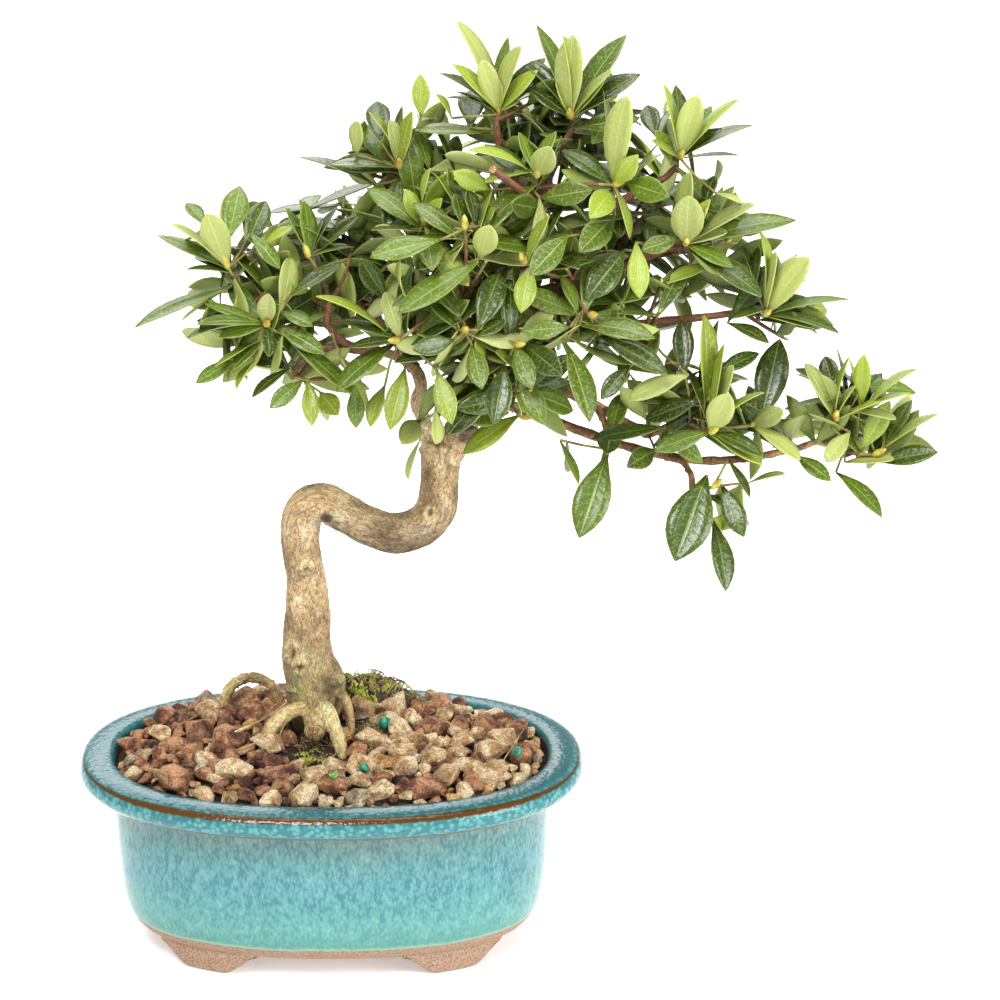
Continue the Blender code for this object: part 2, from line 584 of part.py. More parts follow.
def limb_field():
    """Places and radii closely spaced along every limb, to keep leaves and twigs clear of them."""
    stations = []
    for rows in (TRUNK, *(rows for _, rows in BOUGHS.values())):
        stations += smooth_rows(rows, LIMB_STEPS)
    return np.array([station.xyz for station in stations]), np.array([s.w for s in stations])


def leaf_corners(root, along, side, length):
    """Root, one side, tip and other side of a leaf."""
    middle = root + along * length * LEAF_WIDEST
    half_width = side * length * LEAF_WIDTH_SHARE / 2
    return root, middle + half_width, root + along * length, middle - half_width


def leaf_points(corners):
    """Points spread over a leaf past its root, to test what it would touch."""
    root, left, tip, right = corners
    middle = (left + right) / 2
    return [root.lerp(middle, 0.5), middle, middle.lerp(tip, 0.5), tip, left, right,
            left.lerp(tip, 0.4), right.lerp(tip, 0.4), left.lerp(tip, 0.7), right.lerp(tip, 0.7),
            root.lerp(left, 0.65), root.lerp(right, 0.65), left.lerp(middle, 0.5),
            right.lerp(middle, 0.5)]


def bud_faces(axis, turn):
    """A bud of eight faces, turned so that its first face looks back along the shoot."""
    bm = bmesh.new()
    bmesh.ops.create_uvsphere(bm, u_segments=4, v_segments=2, radius=BUD_RADIUS)
    bm.faces.ensure_lookup_table()
    bm.normal_update()
    back = bm.faces[0].normal.rotation_difference(-axis).to_matrix()
    spin = Matrix.Rotation(turn, 3, axis)
    bmesh.ops.rotate(bm, verts=bm.verts[:], cent=(0, 0, 0), matrix=spin @ back)
    bm.normal_update()
    return bm


def pull_face(bm, face, corners):
    """Extrudes a three-cornered face to new corners, and gives back the moved face."""
    pulled = bmesh.ops.extrude_discrete_faces(bm, faces=[face])["faces"][0]
    for vert, corner in zip(pulled.verts, corners):
        vert.co = corner
    return pulled


def pull_twig(bm, face, end, root):
    """Draws the bud's back face out into the three-sided twig that carries it."""
    middle = face.calc_center_median()
    pull_face(bm, face, [root - end + (vert.co - middle).normalized() * SHOOT_RADIUS
                         for vert in face.verts])


def pull_leaf(bm, face, end, corners):
    """Draws a face of the bud out into a thin pointed blade with a ridge along its upper side."""
    root, left, tip, right = corners
    middle = (left + right) / 2
    ridge = (tip - root).cross(left - right).normalized() * LEAF_THICK
    section = [right, left, middle + ridge]
    centre = face.calc_center_median()
    spokes = [(vert.co - centre).normalized() for vert in face.verts]
    ways = [(corner - middle).normalized() for corner in section]
    least_twist = max(range(3), key=lambda k: sum(spoke.dot(way) for spoke, way in
                                                  zip(spokes, ways[k:] + ways[:k])))
    section = section[least_twist:] + section[:least_twist]
    blade = pull_face(bm, face, [corner - end for corner in section])
    point = bmesh.ops.poke(bm, faces=[blade])["verts"][0]
    point.co = tip - end


def grow_shoots(name, rng, forks, limbs):
    """Paths of shoots from the stem to places spread evenly through the mass's own space."""
    _, centre, half_sizes, count, _ = MASSES[name]
    paths = []
    for _ in range(SHOOT_SPOTS):
        offset = Vector([rng.uniform(-1, 1) for _ in range(3)])
        if offset.length > 1:
            continue
        end = Vector([(c + o * h * SHOOT_BORDER) * MM
                      for c, o, h in zip(centre, offset, half_sizes)])
        root = min(forks, key=lambda fork: (fork - end).length)
        tests = [root.lerp(end, share) for share in SHOOT_TESTS]
        if all(in_own_space(p, name) and clear_of_limbs(p, BUD_RADIUS, limbs) for p in tests):
            paths.append((root, end))
    chosen = []
    while paths and len(chosen) < count:
        ends = [path[1] for path in chosen] + forks[-1:]
        best = max(paths, key=lambda path: min((path[1] - end).length for end in ends))
        chosen.append(best)
        paths.remove(best)
    return chosen


def fit_whorl(name, rng, axis, end, turn, taken, limbs, lift):
    """The leaves that find room round a bud, as pairs of a bud's face and a leaf's corners."""
    bm = bud_faces(axis, turn)
    bm.faces.ensure_lookup_table()
    whorl = []
    spreads = []
    for face in bm.faces[1:]:
        for _ in range(LEAF_TRIES):
            wander = Vector([rng.uniform(-1, 1) for _ in range(3)]) * LEAF_WANDER
            along = (face.normal + wander + UP * LEAF_LIFT * lift).normalized()
            side = axis.cross(along)
            if side.length < LEAST_CROSS:
                side = along.orthogonal()
            side = (side - along * side.dot(along)).normalized()
            base = end + face.calc_center_median() * LEAF_ROOT
            full = rng.uniform(*LEAF_LENGTH)
            corners = None
            for shrink in LEAF_SHRINK:
                trial = leaf_corners(base, along, side, full * shrink)
                points = leaf_points(trial)
                if not all(in_own_space(p, name) and clear_of_limbs(p, 0.0, limbs)
                           for p in points):
                    continue
                spread = np.array(points)
                others = taken + spreads
                if others and np.min(np.linalg.norm(
                        np.concatenate(others)[:, None] - spread[None], axis=2)) < LEAF_APART:
                    continue
                corners = trial
                break
            if corners:
                whorl.append((face.index, corners))
                spreads.append(spread)
                break
    bm.free()
    return whorl, spreads


def make_shoot(collection, root, end, turn, whorl):
    """A twig with its bud and leaves, all drawn out of the bud's faces as one closed skin."""
    axis = (end - root).normalized()
    bm = bud_faces(axis, turn)
    bm.faces.ensure_lookup_table()
    faces = bm.faces[:]
    pull_twig(bm, faces[0], end, root)
    for index, corners in whorl:
        pull_leaf(bm, faces[index], end, corners)
    bmesh.ops.translate(bm, verts=bm.verts[:], vec=end)
    new_object("shoot", bm, collection)


def grow_mass(name, seed, limbs, finish):
    """Twigs that branch from one stem, with leaves spread round the end of each shoot."""
    rng = random.Random(seed)
    bough, centre, _, _, lift = MASSES[name]
    tip = smooth_rows(BOUGHS[bough][1], 3)[-2:]
    heading = (tip[1] - tip[0]).xyz.normalized()
    start = tip[1].xyz + heading * GAP
    stem_end = start.lerp(Vector(centre) * MM, STEM_SHARE)
    bend = start + heading * STEM_STRAIGHT
    stem_rows = [(*point / MM, STEM_RADIUS / MM) for point in (start, bend, stem_end)]
    forks = [bend.lerp(stem_end, share) for share in FORK_SHARES]
    mass = make_limb(name, stem_rows, TWIG_SIDES + 1, steps=1, finish=finish)
    growth = bpy.data.collections.new("growth")
    taken = []
    leaves = 0
    for root, end in grow_shoots(name, rng, forks, limbs):
        axis = (end - root).normalized()
        trials = []
        for k in range(BUD_TURNS):
            turn = 2 * math.pi / 3 * k / BUD_TURNS
            trials.append((turn, *fit_whorl(name, rng, axis, end, turn, taken, limbs, lift)))
        turn, whorl, spreads = max(trials, key=lambda trial: len(trial[1]))
        if len(whorl) < LEAST_LEAVES:
            continue
        make_shoot(growth, root, end, turn, whorl)
        taken += spreads
        leaves += len(whorl)
    apply_boolean(mass, "UNION", growth, MASS_SOLVER)
    remove(*growth.objects[:])
    bpy.data.collections.remove(growth)
    keep_one_body(mass)
    print(name, leaves, "leaves,", len(mass.data.polygons), "faces")


# ------------------------------------------------------------------ the whole part
def stand_on_origin():
    """Moves the part so that the origin is at the bottom centre of its box."""
    bpy.context.view_layer.update()
    corners = [piece.matrix_world @ vert.co for piece in part.objects
               for vert in piece.data.vertices]
    low = Vector([min(axis) for axis in zip(*corners)])
    high = Vector([max(axis) for axis in zip(*corners)])
    holder = bpy.data.objects.new("azalea_bonsai_origin", None)
    holder.location = (-(low.x + high.x) / 2, -(low.y + high.y) / 2, -low.z)
    for piece in part.objects[:]:
        piece.parent = holder
    part.objects.link(holder)
    print("box", (high - low) / MM, "moved", holder.location / MM)


def main():
    for left_over in bpy.data.objects[:]:
        bpy.data.objects.remove(left_over)
    bpy.context.scene.collection.children.link(part)
    bpy.context.scene.collection.children.link(cutters)
    glaze = material("turquoise_glaze", (0.07, 0.33, 0.33), 0.2)
    stone = material("crushed_lava_stone", (0.23, 0.12, 0.08), 0.9)
    moss = material("moss", (0.10, 0.18, 0.02), 0.95)
    bark = material("azalea_bark", (0.36, 0.27, 0.16), 0.85)
    leaf = material("azalea_leaf", (0.05, 0.16, 0.03), 0.35)
    make_pot(glaze)
    make_gravel(stone)
    make_moss(moss)
    make_trunk(bark)
    make_root_loop(bark)
    make_boughs(bark)
    limbs = limb_field()
    for seed, name in enumerate(MASSES, start=LEAF_SEED):
        grow_mass(name, seed, limbs, leaf)
    stand_on_origin()


main()
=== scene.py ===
# %% [markdown]
# # An azalea bonsai in its oval pot
# A small azalea, trained for years into a double bend, stands in a glazed oval pot. This lesson
# dresses the measured model of it: the pot gets its glaze, the soil its crushed stones, the
# trunk its bark, and the crown its leaves. The measured solids are loaded first and nothing is
# made larger than they are, so the box of the whole plant is written down at the start.

# %% Load the measured plant
import math
import random

import bmesh
import bpy
import numpy as np
from mathutils import Matrix, Vector, noise
from mathutils.bvhtree import BVHTree
from mathutils.kdtree import KDTree


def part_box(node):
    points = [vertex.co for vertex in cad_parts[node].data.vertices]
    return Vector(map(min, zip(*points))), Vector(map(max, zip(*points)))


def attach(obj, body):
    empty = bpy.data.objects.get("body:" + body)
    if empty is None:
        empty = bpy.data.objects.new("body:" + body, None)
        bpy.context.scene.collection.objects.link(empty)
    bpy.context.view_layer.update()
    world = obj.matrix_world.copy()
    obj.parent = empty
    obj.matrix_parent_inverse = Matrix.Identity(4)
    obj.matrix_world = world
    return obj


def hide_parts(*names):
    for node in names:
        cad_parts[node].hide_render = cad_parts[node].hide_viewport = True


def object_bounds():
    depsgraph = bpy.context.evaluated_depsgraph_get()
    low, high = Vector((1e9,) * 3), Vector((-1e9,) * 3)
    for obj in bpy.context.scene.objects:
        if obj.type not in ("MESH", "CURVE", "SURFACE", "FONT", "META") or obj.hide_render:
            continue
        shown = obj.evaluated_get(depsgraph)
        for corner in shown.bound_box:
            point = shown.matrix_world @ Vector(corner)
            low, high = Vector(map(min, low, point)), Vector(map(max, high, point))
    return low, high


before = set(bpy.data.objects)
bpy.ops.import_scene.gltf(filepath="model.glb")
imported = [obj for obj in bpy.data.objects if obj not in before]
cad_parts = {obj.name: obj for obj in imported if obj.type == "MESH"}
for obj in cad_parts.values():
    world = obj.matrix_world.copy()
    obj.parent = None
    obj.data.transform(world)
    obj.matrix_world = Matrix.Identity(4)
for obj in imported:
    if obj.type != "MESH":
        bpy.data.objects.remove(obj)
cad_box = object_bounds()
print("nodes", len(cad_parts), "box", [tuple(round(v, 4) for v in c) for c in cad_box])

# %% [markdown]
# ## Where things are
# Everything on the plant was measured in millimetres from the middle of the pot, at the level
# its feet stand on: X to the right, Y to the back, Z up. One helper turns such a place into the
# scene's metres, so the numbers below can stay the ones a maker would read off a ruler.

# %% Millimetres from the middle of the pot
MM = 0.001
pot_low, pot_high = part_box("pot")
POT_MIDDLE = Vector(((pot_low.x + pot_high.x) / 2, (pot_low.y + pot_high.y) / 2, pot_low.z))


def at(x, y, z):
    return POT_MIDDLE + Vector((x, y, z)) * MM


print("middle of the pot", [round(v, 4) for v in POT_MIDDLE])

# %% [markdown]
# ## The camera
# The plant is looked at from the front, 20 degrees above the table, through a long lens, which
# keeps the oval of the rim flat. The lens and the distance go together: a longer lens further
# away would flatten it more. The same three directions later tell where a leaf's tip lies when
# only its place in the view is known.

# %% Camera
VIEW_RISE = math.radians(20)
VIEW_DISTANCE = 1.5
FRAME_SIZE = 1000  # the render is this many pixels wide and high
FOCAL = 4545  # the lens, in pixels of that render
SENSOR = 36.0  # mm
FAR_END = 20  # m, the furthest that the camera sees
aim = at(56.7, 0, 156.5)
view_right = Vector((1, 0, 0))
view_up = Vector((0, math.sin(VIEW_RISE), math.cos(VIEW_RISE)))
view_ahead = Vector((0, math.cos(VIEW_RISE), -math.sin(VIEW_RISE)))
eye = aim - view_ahead * VIEW_DISTANCE

lens = bpy.data.cameras.new("camera")
lens.sensor_width = SENSOR
lens.lens = FOCAL * SENSOR / FRAME_SIZE
lens.clip_end = FAR_END
camera = bpy.data.objects.new("camera", lens)
camera.location = eye
camera.rotation_euler = view_ahead.to_track_quat("-Z", "Y").to_euler()
bpy.context.scene.collection.objects.link(camera)
bpy.context.scene.camera = camera
print("lens", round(lens.lens, 1), "mm")


# %% Lines of sight
def sight(across, down):
    """The line of sight through a place in the view, as a direction from the eye."""
    return (view_ahead + view_right * ((across - FRAME_SIZE / 2) / FOCAL)
            + view_up * ((FRAME_SIZE / 2 - down) / FOCAL)).normalized()


def seen(across, down, depth):
    """The point at a place in the view that lies this many mm behind the pot's middle."""
    ray = sight(across, down)
    return eye + ray * ((at(0, depth, 0).y - eye.y) / ray.y)


def spot_of(across, down, depth):
    """The same point in mm from the pot's middle."""
    return (seen(across, down, depth) - POT_MIDDLE) / MM


print("one pixel at the trunk is", round(VIEW_DISTANCE / FOCAL / MM, 3), "mm")

# %% [markdown]
# ## Studio
# The plant stands on a pale floor under large soft lights, as in a product studio. Large lights
# give soft shadows and the broad pale shine on glaze and leaves; small ones would give hard
# spots. The floor is far larger than the view, so that it fills the background as well.

# %% Lights
LIT_PLACE = at(50, 0, 150)  # the lamps all point at the middle of the plant
LAMPS = {  # offset from there and size, m, and power, watts
    "key_softbox": ((-0.35, -0.95, 1.15), 0.5, 19),
    "fill_softbox": ((1.1, -0.8, 0.5), 0.7, 17),
    "top_softbox": ((0.1, 0.25, 1.3), 0.9, 14),
    "back_softbox": ((-0.3, 1.2, 0.7), 0.8, 7),
}
SKY_STRENGTH = 0.55
# Standard shows a finish in the colours that it is given; the filmic looks grey them.
bpy.context.scene.view_settings.view_transform = "Standard"
for name, (offset, size, watts) in LAMPS.items():
    lamp = bpy.data.lights.new(name, "AREA")
    lamp.size = size
    lamp.energy = watts
    stand = bpy.data.objects.new(name, lamp)
    stand.location = LIT_PLACE + Vector(offset)
    stand.rotation_euler = (LIT_PLACE - stand.location).to_track_quat("-Z", "Y").to_euler()
    bpy.context.scene.collection.objects.link(stand)

sky = bpy.data.worlds.new("studio")
sky.use_nodes = True
sky.node_tree.nodes["Background"].inputs["Color"].default_value = (1, 1, 1, 1)
sky.node_tree.nodes["Background"].inputs["Strength"].default_value = SKY_STRENGTH
bpy.context.scene.world = sky
print("lamps", len(LAMPS))

# %% Floor
FLOOR_HALF = 6  # m
FLOOR_AHEAD = 4  # m that its middle lies behind the plant
FLOOR_DROP = 0.0002  # m under the feet, so that the two never share a plane
bm = bmesh.new()
bmesh.ops.create_grid(bm, x_segments=1, y_segments=1, size=FLOOR_HALF)
bmesh.ops.translate(bm, verts=bm.verts[:], vec=(0, FLOOR_AHEAD, POT_MIDDLE.z - FLOOR_DROP))
floor_mesh = bpy.data.meshes.new("floor")
bm.to_mesh(floor_mesh)
bm.free()
floor = bpy.data.objects.new("floor", floor_mesh)
bpy.context.scene.collection.objects.link(floor)
print("floor", 2 * FLOOR_HALF, "m wide")

# %% [markdown]
# ## Paint box
# Colours are written as the hex values a painter would pick on a screen, which are not the
# numbers that light is added up in, so one function turns them to linear light. One more helper
# adds a shader node with its settings and its links, and every finish below is built with it.

# %% Colours
def linear(hex_colour):
    parts = [int(hex_colour[i:i + 2], 16) / 255 for i in (1, 3, 5)]
    return (*[p / 12.92 if p <= 0.04045 else ((p + 0.055) / 1.055) ** 2.4 for p in parts], 1)


print("white in linear light", linear("#ffffff"))


# %% Shader nodes
def put(node, settings):
    """Gives a node its settings; a value that is a node or one of its sockets is linked."""
    for key, value in settings.items():
        if isinstance(value, bpy.types.Node):  # stands for its first socket in use
            value = next(socket for socket in value.outputs if socket.enabled)
        if key == "stops":
            ramp = node.color_ramp.elements
            while len(ramp) < len(value):
                ramp.new(0.5)
            for stop, (place, colour) in zip(ramp, value):
                stop.position = place
                stop.color = linear(colour)
        elif isinstance(value, bpy.types.NodeSocket):
            node.id_data.links.new(value, node.inputs[key])
        elif isinstance(key, int) or key in node.inputs:
            node.inputs[key].default_value = value
        else:
            setattr(node, key, value)


def add(tree, kind, settings={}):
    """One new node with its settings and links."""
    node = tree.nodes.new("ShaderNode" + kind)
    put(node, settings)
    return node


def new_finish(name, roughness):
    """A Principled material, and its node tree and shader to build on."""
    finish = bpy.data.materials.new(name)
    finish.use_nodes = True
    shader = finish.node_tree.nodes["Principled BSDF"]
    shader.inputs["Roughness"].default_value = roughness
    return finish, finish.node_tree, shader


def mottled_finish(name, roughness, scale, detail, stops):
    """A plain finish whose tones lie in soft patches."""
    finish, tree, shader = new_finish(name, roughness)
    patches = add(tree, "TexNoise", {"Scale": scale, "Detail": detail,
                                     "Vector": add(tree, "TexCoord").outputs["Object"]})
    put(shader, {"Base Color": add(tree, "ValToRGB", {"stops": stops, "Fac": patches})})
    return finish


# The floor is milky acrylic lit from below, as on a product table: matt and very pale, and its
# glow leaves only a soft shadow under the pot.
acrylic = mottled_finish("frosted_acrylic_table", 0.9, 3.0, 2.0,
                         ((0.3, "#f6f6f6"), (0.7, "#fcfcfc")))
put(acrylic.node_tree.nodes["Principled BSDF"],
    {"Emission Color": linear("#ffffff"), "Emission Strength": 0.35})
floor_mesh.materials.append(acrylic)
print("finish", acrylic.name)

# %% [markdown]
# ## Pieces
# Every piece is made as a bmesh and then becomes an object with its finishes. It rides on the
# plant's one body and names the measured solids that it takes the place of, so that those are
# hidden where it stands.

# %% Helpers for pieces
def absorb(bm, part):
    """Adds a second bmesh to the first and clears it away."""
    mesh = bpy.data.meshes.new("part")
    part.to_mesh(mesh)
    part.free()
    bm.from_mesh(mesh)
    bpy.data.meshes.remove(mesh)


def dress(name, mesh, finishes, replaces=(), smooth=True):
    """A finished piece from a mesh."""
    piece = bpy.data.objects.new(name, mesh)
    bpy.context.scene.collection.objects.link(piece)
    mesh.materials.clear()
    for finish in finishes:
        mesh.materials.append(finish)
    mesh.polygons.foreach_set("use_smooth", [smooth] * len(mesh.polygons))
    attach(piece, "root")
    if replaces:
        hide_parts(*replaces)
    print("piece", name, len(mesh.polygons), "faces")
    return piece


def new_piece(name, bm, finishes, replaces=(), smooth=True):
    """A finished piece from a bmesh."""
    mesh = bpy.data.meshes.new(name)
    bm.to_mesh(mesh)
    bm.free()
    return dress(name, mesh, finishes, replaces, smooth)


print("helpers for pieces are ready")

# %% [markdown]
# ## The pot's shape
# The pot is cast in a mould from slip, so its wall is even and every edge is a little soft. It
# could be lofted ring by ring, but spinning its wall's section once round gives the same skin in
# one step. The section is spun to a round pot first, and each point is then moved out to the
# oval: the outline is a superellipse, a little squarer than an ellipse.

# %% Oval of the pot
POT_HALF_LENGTH = 84.6  # mm, at the rim's widest line
POT_HALF_DEPTH = 58.5
OVAL_POWER = 2.3
POT_STEPS = 144
SPUN_RADIUS = 100.0  # radius that the section is spun at, before it is made oval
SEAM_REACH = 1e-4  # mm; points closer than this are one point, as at a seam
# (inset from the rim's outline, height), mm, from the underside up, over the rim and down inside
POT_SECTION = ((22.5, 7), (20.4, 7.5), (18.4, 8.8), (16.7, 10.7), (15.2, 13.4), (14.1, 17),
               (13.2, 21.5), (12.6, 27), (12, 34), (11.5, 42), (11.1, 50), (11, 54.2),
               (10.6, 55.9), (9, 56.6), (7, 57), (4.4, 57.8), (2.3, 59), (0.8, 60.6),
               (0, 62.3), (0.1, 63.8), (0.7, 65.3), (1.7, 66.3), (3.2, 66.9), (5.4, 67.4),
               (8.2, 67.5), (10.2, 67.3), (11.1, 66.8), (11.6, 65.8), (12, 64), (13.2, 59.8),
               (15.2, 54), (17, 34), (18.8, 21), (22, 15), (26, 12.5))


def oval_point(angle, inset, height):
    along, across = math.cos(angle), math.sin(angle)
    power = 2 / OVAL_POWER
    return Vector(((POT_HALF_LENGTH - inset) * math.copysign(abs(along) ** power, along),
                   (POT_HALF_DEPTH - inset) * math.copysign(abs(across) ** power, across),
                   height))


def spin_section(bm, section, start, sweep, steps):
    """Spins a line of (inset, height) points about Z, from one angle through a sweep."""
    line = [bm.verts.new((SPUN_RADIUS - inset, 0, height)) for inset, height in section]
    edges = [bm.edges.new(pair) for pair in zip(line, line[1:])]
    bmesh.ops.rotate(bm, verts=line, cent=(0, 0, 0), matrix=Matrix.Rotation(start, 3, "Z"))
    bmesh.ops.spin(bm, geom=line + edges, cent=(0, 0, 0), axis=(0, 0, 1), angle=sweep,
                   steps=steps, use_merge=math.isclose(sweep, math.tau), use_duplicate=False)


def make_oval(bm):
    """Moves every spun point out to the oval, keeping its inset as a value of its own."""
    inset_of = bm.verts.layers.float.new("inset_mm")
    for vert in bm.verts:
        inset = SPUN_RADIUS - math.hypot(vert.co.x, vert.co.y)
        vert[inset_of] = inset
        vert.co = at(*oval_point(math.atan2(vert.co.y, vert.co.x), inset, vert.co.z))


print("pot section of", len(POT_SECTION), "points")

# %% Spin the bowl
bowl = bmesh.new()
spin_section(bowl, POT_SECTION, 0, math.tau, POT_STEPS)
bmesh.ops.remove_doubles(bowl, verts=bowl.verts[:], dist=SEAM_REACH)
make_oval(bowl)
bmesh.ops.holes_fill(bowl, edges=[e for e in bowl.edges if e.is_boundary], sides=0)
print("bowl faces", len(bowl.faces))

# %% [markdown]
# The feet are brackets of bare clay, cut flat below and swept up to the bowl at both ends, and
# their edges are wiped round with a sponge. Each is a short stretch of the same spin as the
# bowl, so it follows the oval by itself; a box would have to be bent to it.

# %% Section and sweep of a foot
FOOT_ANGLES = (52, 128, 232, 308)
FOOT_HALF_ANGLE = 19.5  # degrees of the spin that a foot takes up on each side
FOOT_STEPS = 28
FOOT_FLAT = 0.36  # share of a foot's length that is full height
FOOT_INSETS = (18.2, 31)  # its outer and inner side
FOOT_TOP = 9.8  # it runs up into the bowl's floor to here
FOOT_END = 7.2  # height of its underside at its ends
FOOT_NARROW = 1.8  # mm that each side draws in towards the ground
FOOT_EDGE = 1.0  # mm, wiped round with a sponge
SHARP_ANGLE = 0.9  # radians between faces, past which an edge is wiped


def foot_drop(share):
    """How far down a foot reaches: 0 at its ends, 1 along its flat, on a smooth curve."""
    slope = min((1 - abs(share)) / (1 - FOOT_FLAT), 1)
    return 0.5 * (1 - math.cos(math.pi * max(slope, 0)))


print("a foot is full height along", round(FOOT_FLAT * 2 * FOOT_HALF_ANGLE, 1), "degrees")

# %% Spin the feet
for middle_angle in FOOT_ANGLES:
    foot = bmesh.new()
    outer, inner = FOOT_INSETS
    ring = [foot.verts.new((SPUN_RADIUS - inset, 0, height)) for inset, height in
            ((outer, FOOT_TOP), (inner, FOOT_TOP), (inner, 0), (outer, 0))]
    bmesh.ops.subdivide_edges(foot, edges=foot.faces.new(ring).edges[:], cuts=3)
    bmesh.ops.rotate(foot, verts=foot.verts[:], cent=(0, 0, 0),
                     matrix=Matrix.Rotation(math.radians(middle_angle - FOOT_HALF_ANGLE), 3, "Z"))
    bmesh.ops.spin(foot, geom=foot.verts[:] + foot.edges[:] + foot.faces[:], cent=(0, 0, 0),
                   axis=(0, 0, 1), angle=math.radians(2 * FOOT_HALF_ANGLE), steps=FOOT_STEPS,
                   use_merge=False, use_duplicate=False)
    for vert in foot.verts:
        angle = math.atan2(vert.co.y, vert.co.x) % math.tau
        drop = foot_drop((math.degrees(angle) - middle_angle) / FOOT_HALF_ANGLE)
        depth = 1 - vert.co.z / FOOT_TOP
        inset = SPUN_RADIUS - math.hypot(vert.co.x, vert.co.y)
        side = 1 if inset < sum(FOOT_INSETS) / 2 else -1
        inset += side * FOOT_NARROW * depth ** 2 * drop
        vert.co = oval_point(angle, inset, FOOT_TOP + (FOOT_END * (1 - drop) - FOOT_TOP) * depth)
    bmesh.ops.recalc_face_normals(foot, faces=foot.faces[:])
    sharp = [e for e in foot.edges if len(e.link_faces) == 2 and e.calc_face_angle() > SHARP_ANGLE
             and min(v.co.z for v in e.verts) < FOOT_END]
    bmesh.ops.bevel(foot, geom=sharp, offset=FOOT_EDGE, segments=3, profile=0.5,
                    affect="EDGES", material=-1)
    inset_of = foot.verts.layers.float.new("inset_mm")
    for vert in foot.verts:
        vert[inset_of] = outer
        vert.co = at(vert.co.x, vert.co.y, max(vert.co.z, 0))
    absorb(bowl, foot)
bmesh.ops.recalc_face_normals(bowl, faces=bowl.faces[:])
print("bowl and feet", len(bowl.faces), "faces")

# %% [markdown]
# ## Turquoise glaze over pink clay
# The glaze is a thick copper one, fired until it ran. It is greyish just under the lip, bluer
# half way, greener where it gathered, and ends above the feet in a pale uneven bead; on the
# lip it pooled into small bubbles and pulled away from the edge, which shows as a brown line.
# Fine streaks of paler glaze run down the wall. All of it hangs on two numbers, the height and
# the inset from the rim, so it is mixed from those and from noise stretched along the wall.

# %% Height, inset and the wall's own colours
WALL_FOOT, WALL_TOP = 9, 55.0  # mm above the table
glaze, tree, shader = new_finish("fired_copper_glaze_on_stoneware", roughness=0.13)
coords = add(tree, "TexCoord").outputs["Object"]
axes = add(tree, "SeparateXYZ", {0: coords})
height = add(tree, "Math",
             {"operation": "MULTIPLY_ADD", 0: axes.outputs["Z"], 1: 1 / MM, 2: -POT_MIDDLE.z / MM})
inset = add(tree, "Attribute", {"attribute_name": "inset_mm"}).outputs["Fac"]
# glaze runs in waves of 5 to 10 mm
wave = add(tree, "TexNoise", {"Scale": 60, "Detail": 3, "Vector": coords})
uneven = add(tree, "Math", {"operation": "MULTIPLY_ADD", 0: wave, 1: 12, 2: -6})
level = add(tree, "Math", {"operation": "ADD", 0: height, 1: uneven})
up_wall = add(tree, "MapRange", {"From Min": WALL_FOOT, "From Max": WALL_TOP, "Value": level})
wall = add(tree, "ValToRGB",
           {"stops": ((0, "#6c9c86"), (0.1, "#538c81"), (0.24, "#5b958e"), (0.42, "#548c8b"),
                      (0.62, "#50878c"), (0.84, "#568480"), (1, "#6a7f79")), "Fac": up_wall})
print("the wall is coloured from", WALL_FOOT, "to", WALL_TOP, "mm")

# %% Beads and streaks on the wall
# beads of glaze 0.8 mm wide and 1.8 mm long, pale in their middles and dark where they meet
hang = add(tree, "Mapping", {"Scale": (1, 1, 0.45), "Vector": coords})
beads = add(tree, "TexVoronoi", {"Scale": 1150, "Vector": hang})
streak = add(tree, "TexNoise", {"Scale": 420, "Detail": 4, "Roughness": 0.6, "Vector": hang})
bead_tone = add(tree, "Math", {"operation": "MULTIPLY_ADD", 0: beads, 1: -0.55, 2: streak})
pale = add(tree, "MapRange",
           {"From Min": 0.3, "From Max": 0.52, "To Max": 0.36, "Value": bead_tone})
dark = add(tree, "MapRange",
           {"From Min": 0.24, "From Max": 0.04, "To Max": 0.66, "Value": bead_tone})
# low on the wall, where the glaze is thick, the beads have melted into one another
parted = add(tree, "MapRange",
             {"From Min": 0.12, "From Max": 0.5, "To Min": 0.4, "Value": up_wall})
seams = add(tree, "Math", {"operation": "MULTIPLY", 0: dark, 1: parted})
streaked = add(tree, "Mix", {"data_type": "RGBA", 0: pale, 6: wall, 7: linear("#86b2ab")})
streaked = add(tree, "Mix", {"data_type": "RGBA", 0: seams, 6: streaked, 7: linear("#2a5f6a")})
print("glaze", len(tree.nodes), "nodes with its beads")

# %% Bubbles on the lip
LIP_FOOT = 56.1  # mm above the table, where the wall turns out to the lip
# bubbles of 2 mm on the lip, each with a paler middle and a dark seam round it
bubbles = add(tree, "TexVoronoi", {"Scale": 560, "Vector": coords})
bubble_edge = add(tree, "Math", {"operation": "MULTIPLY_ADD", 0: streak, 1: 0.7, 2: bubbles})
bubble = add(tree, "ValToRGB", {"stops": ((0.42, "#438a8a"), (0.6, "#559693"), (0.76, "#438384"),
                                          (0.98, "#2f6a6f")), "Fac": bubble_edge})
# the glaze lies deeper, and so darker, on the flat of the lip
flat_inset = add(tree, "MapRange", {"From Min": 2, "From Max": 3.6, "Value": inset})
flat_height = add(tree, "MapRange", {"From Min": 63.5, "From Max": 65, "Value": height})
flat_share = add(tree, "Math", {"operation": "MULTIPLY", 0: flat_inset, 1: flat_height})
deep_share = add(tree, "Math", {"operation": "MULTIPLY", 0: flat_share, 1: 0.8})
pooled = add(tree, "Mix", {"data_type": "RGBA", 0: deep_share, 6: bubble, 7: linear("#1b4f55")})
lip_share = add(tree, "MapRange",
                {"From Min": LIP_FOOT - 0.5, "From Max": LIP_FOOT + 0.5, "Value": height})
coat = add(tree, "Mix", {"data_type": "RGBA", 0: lip_share, 6: streaked, 7: pooled})
print("glaze", len(tree.nodes), "nodes with the lip")

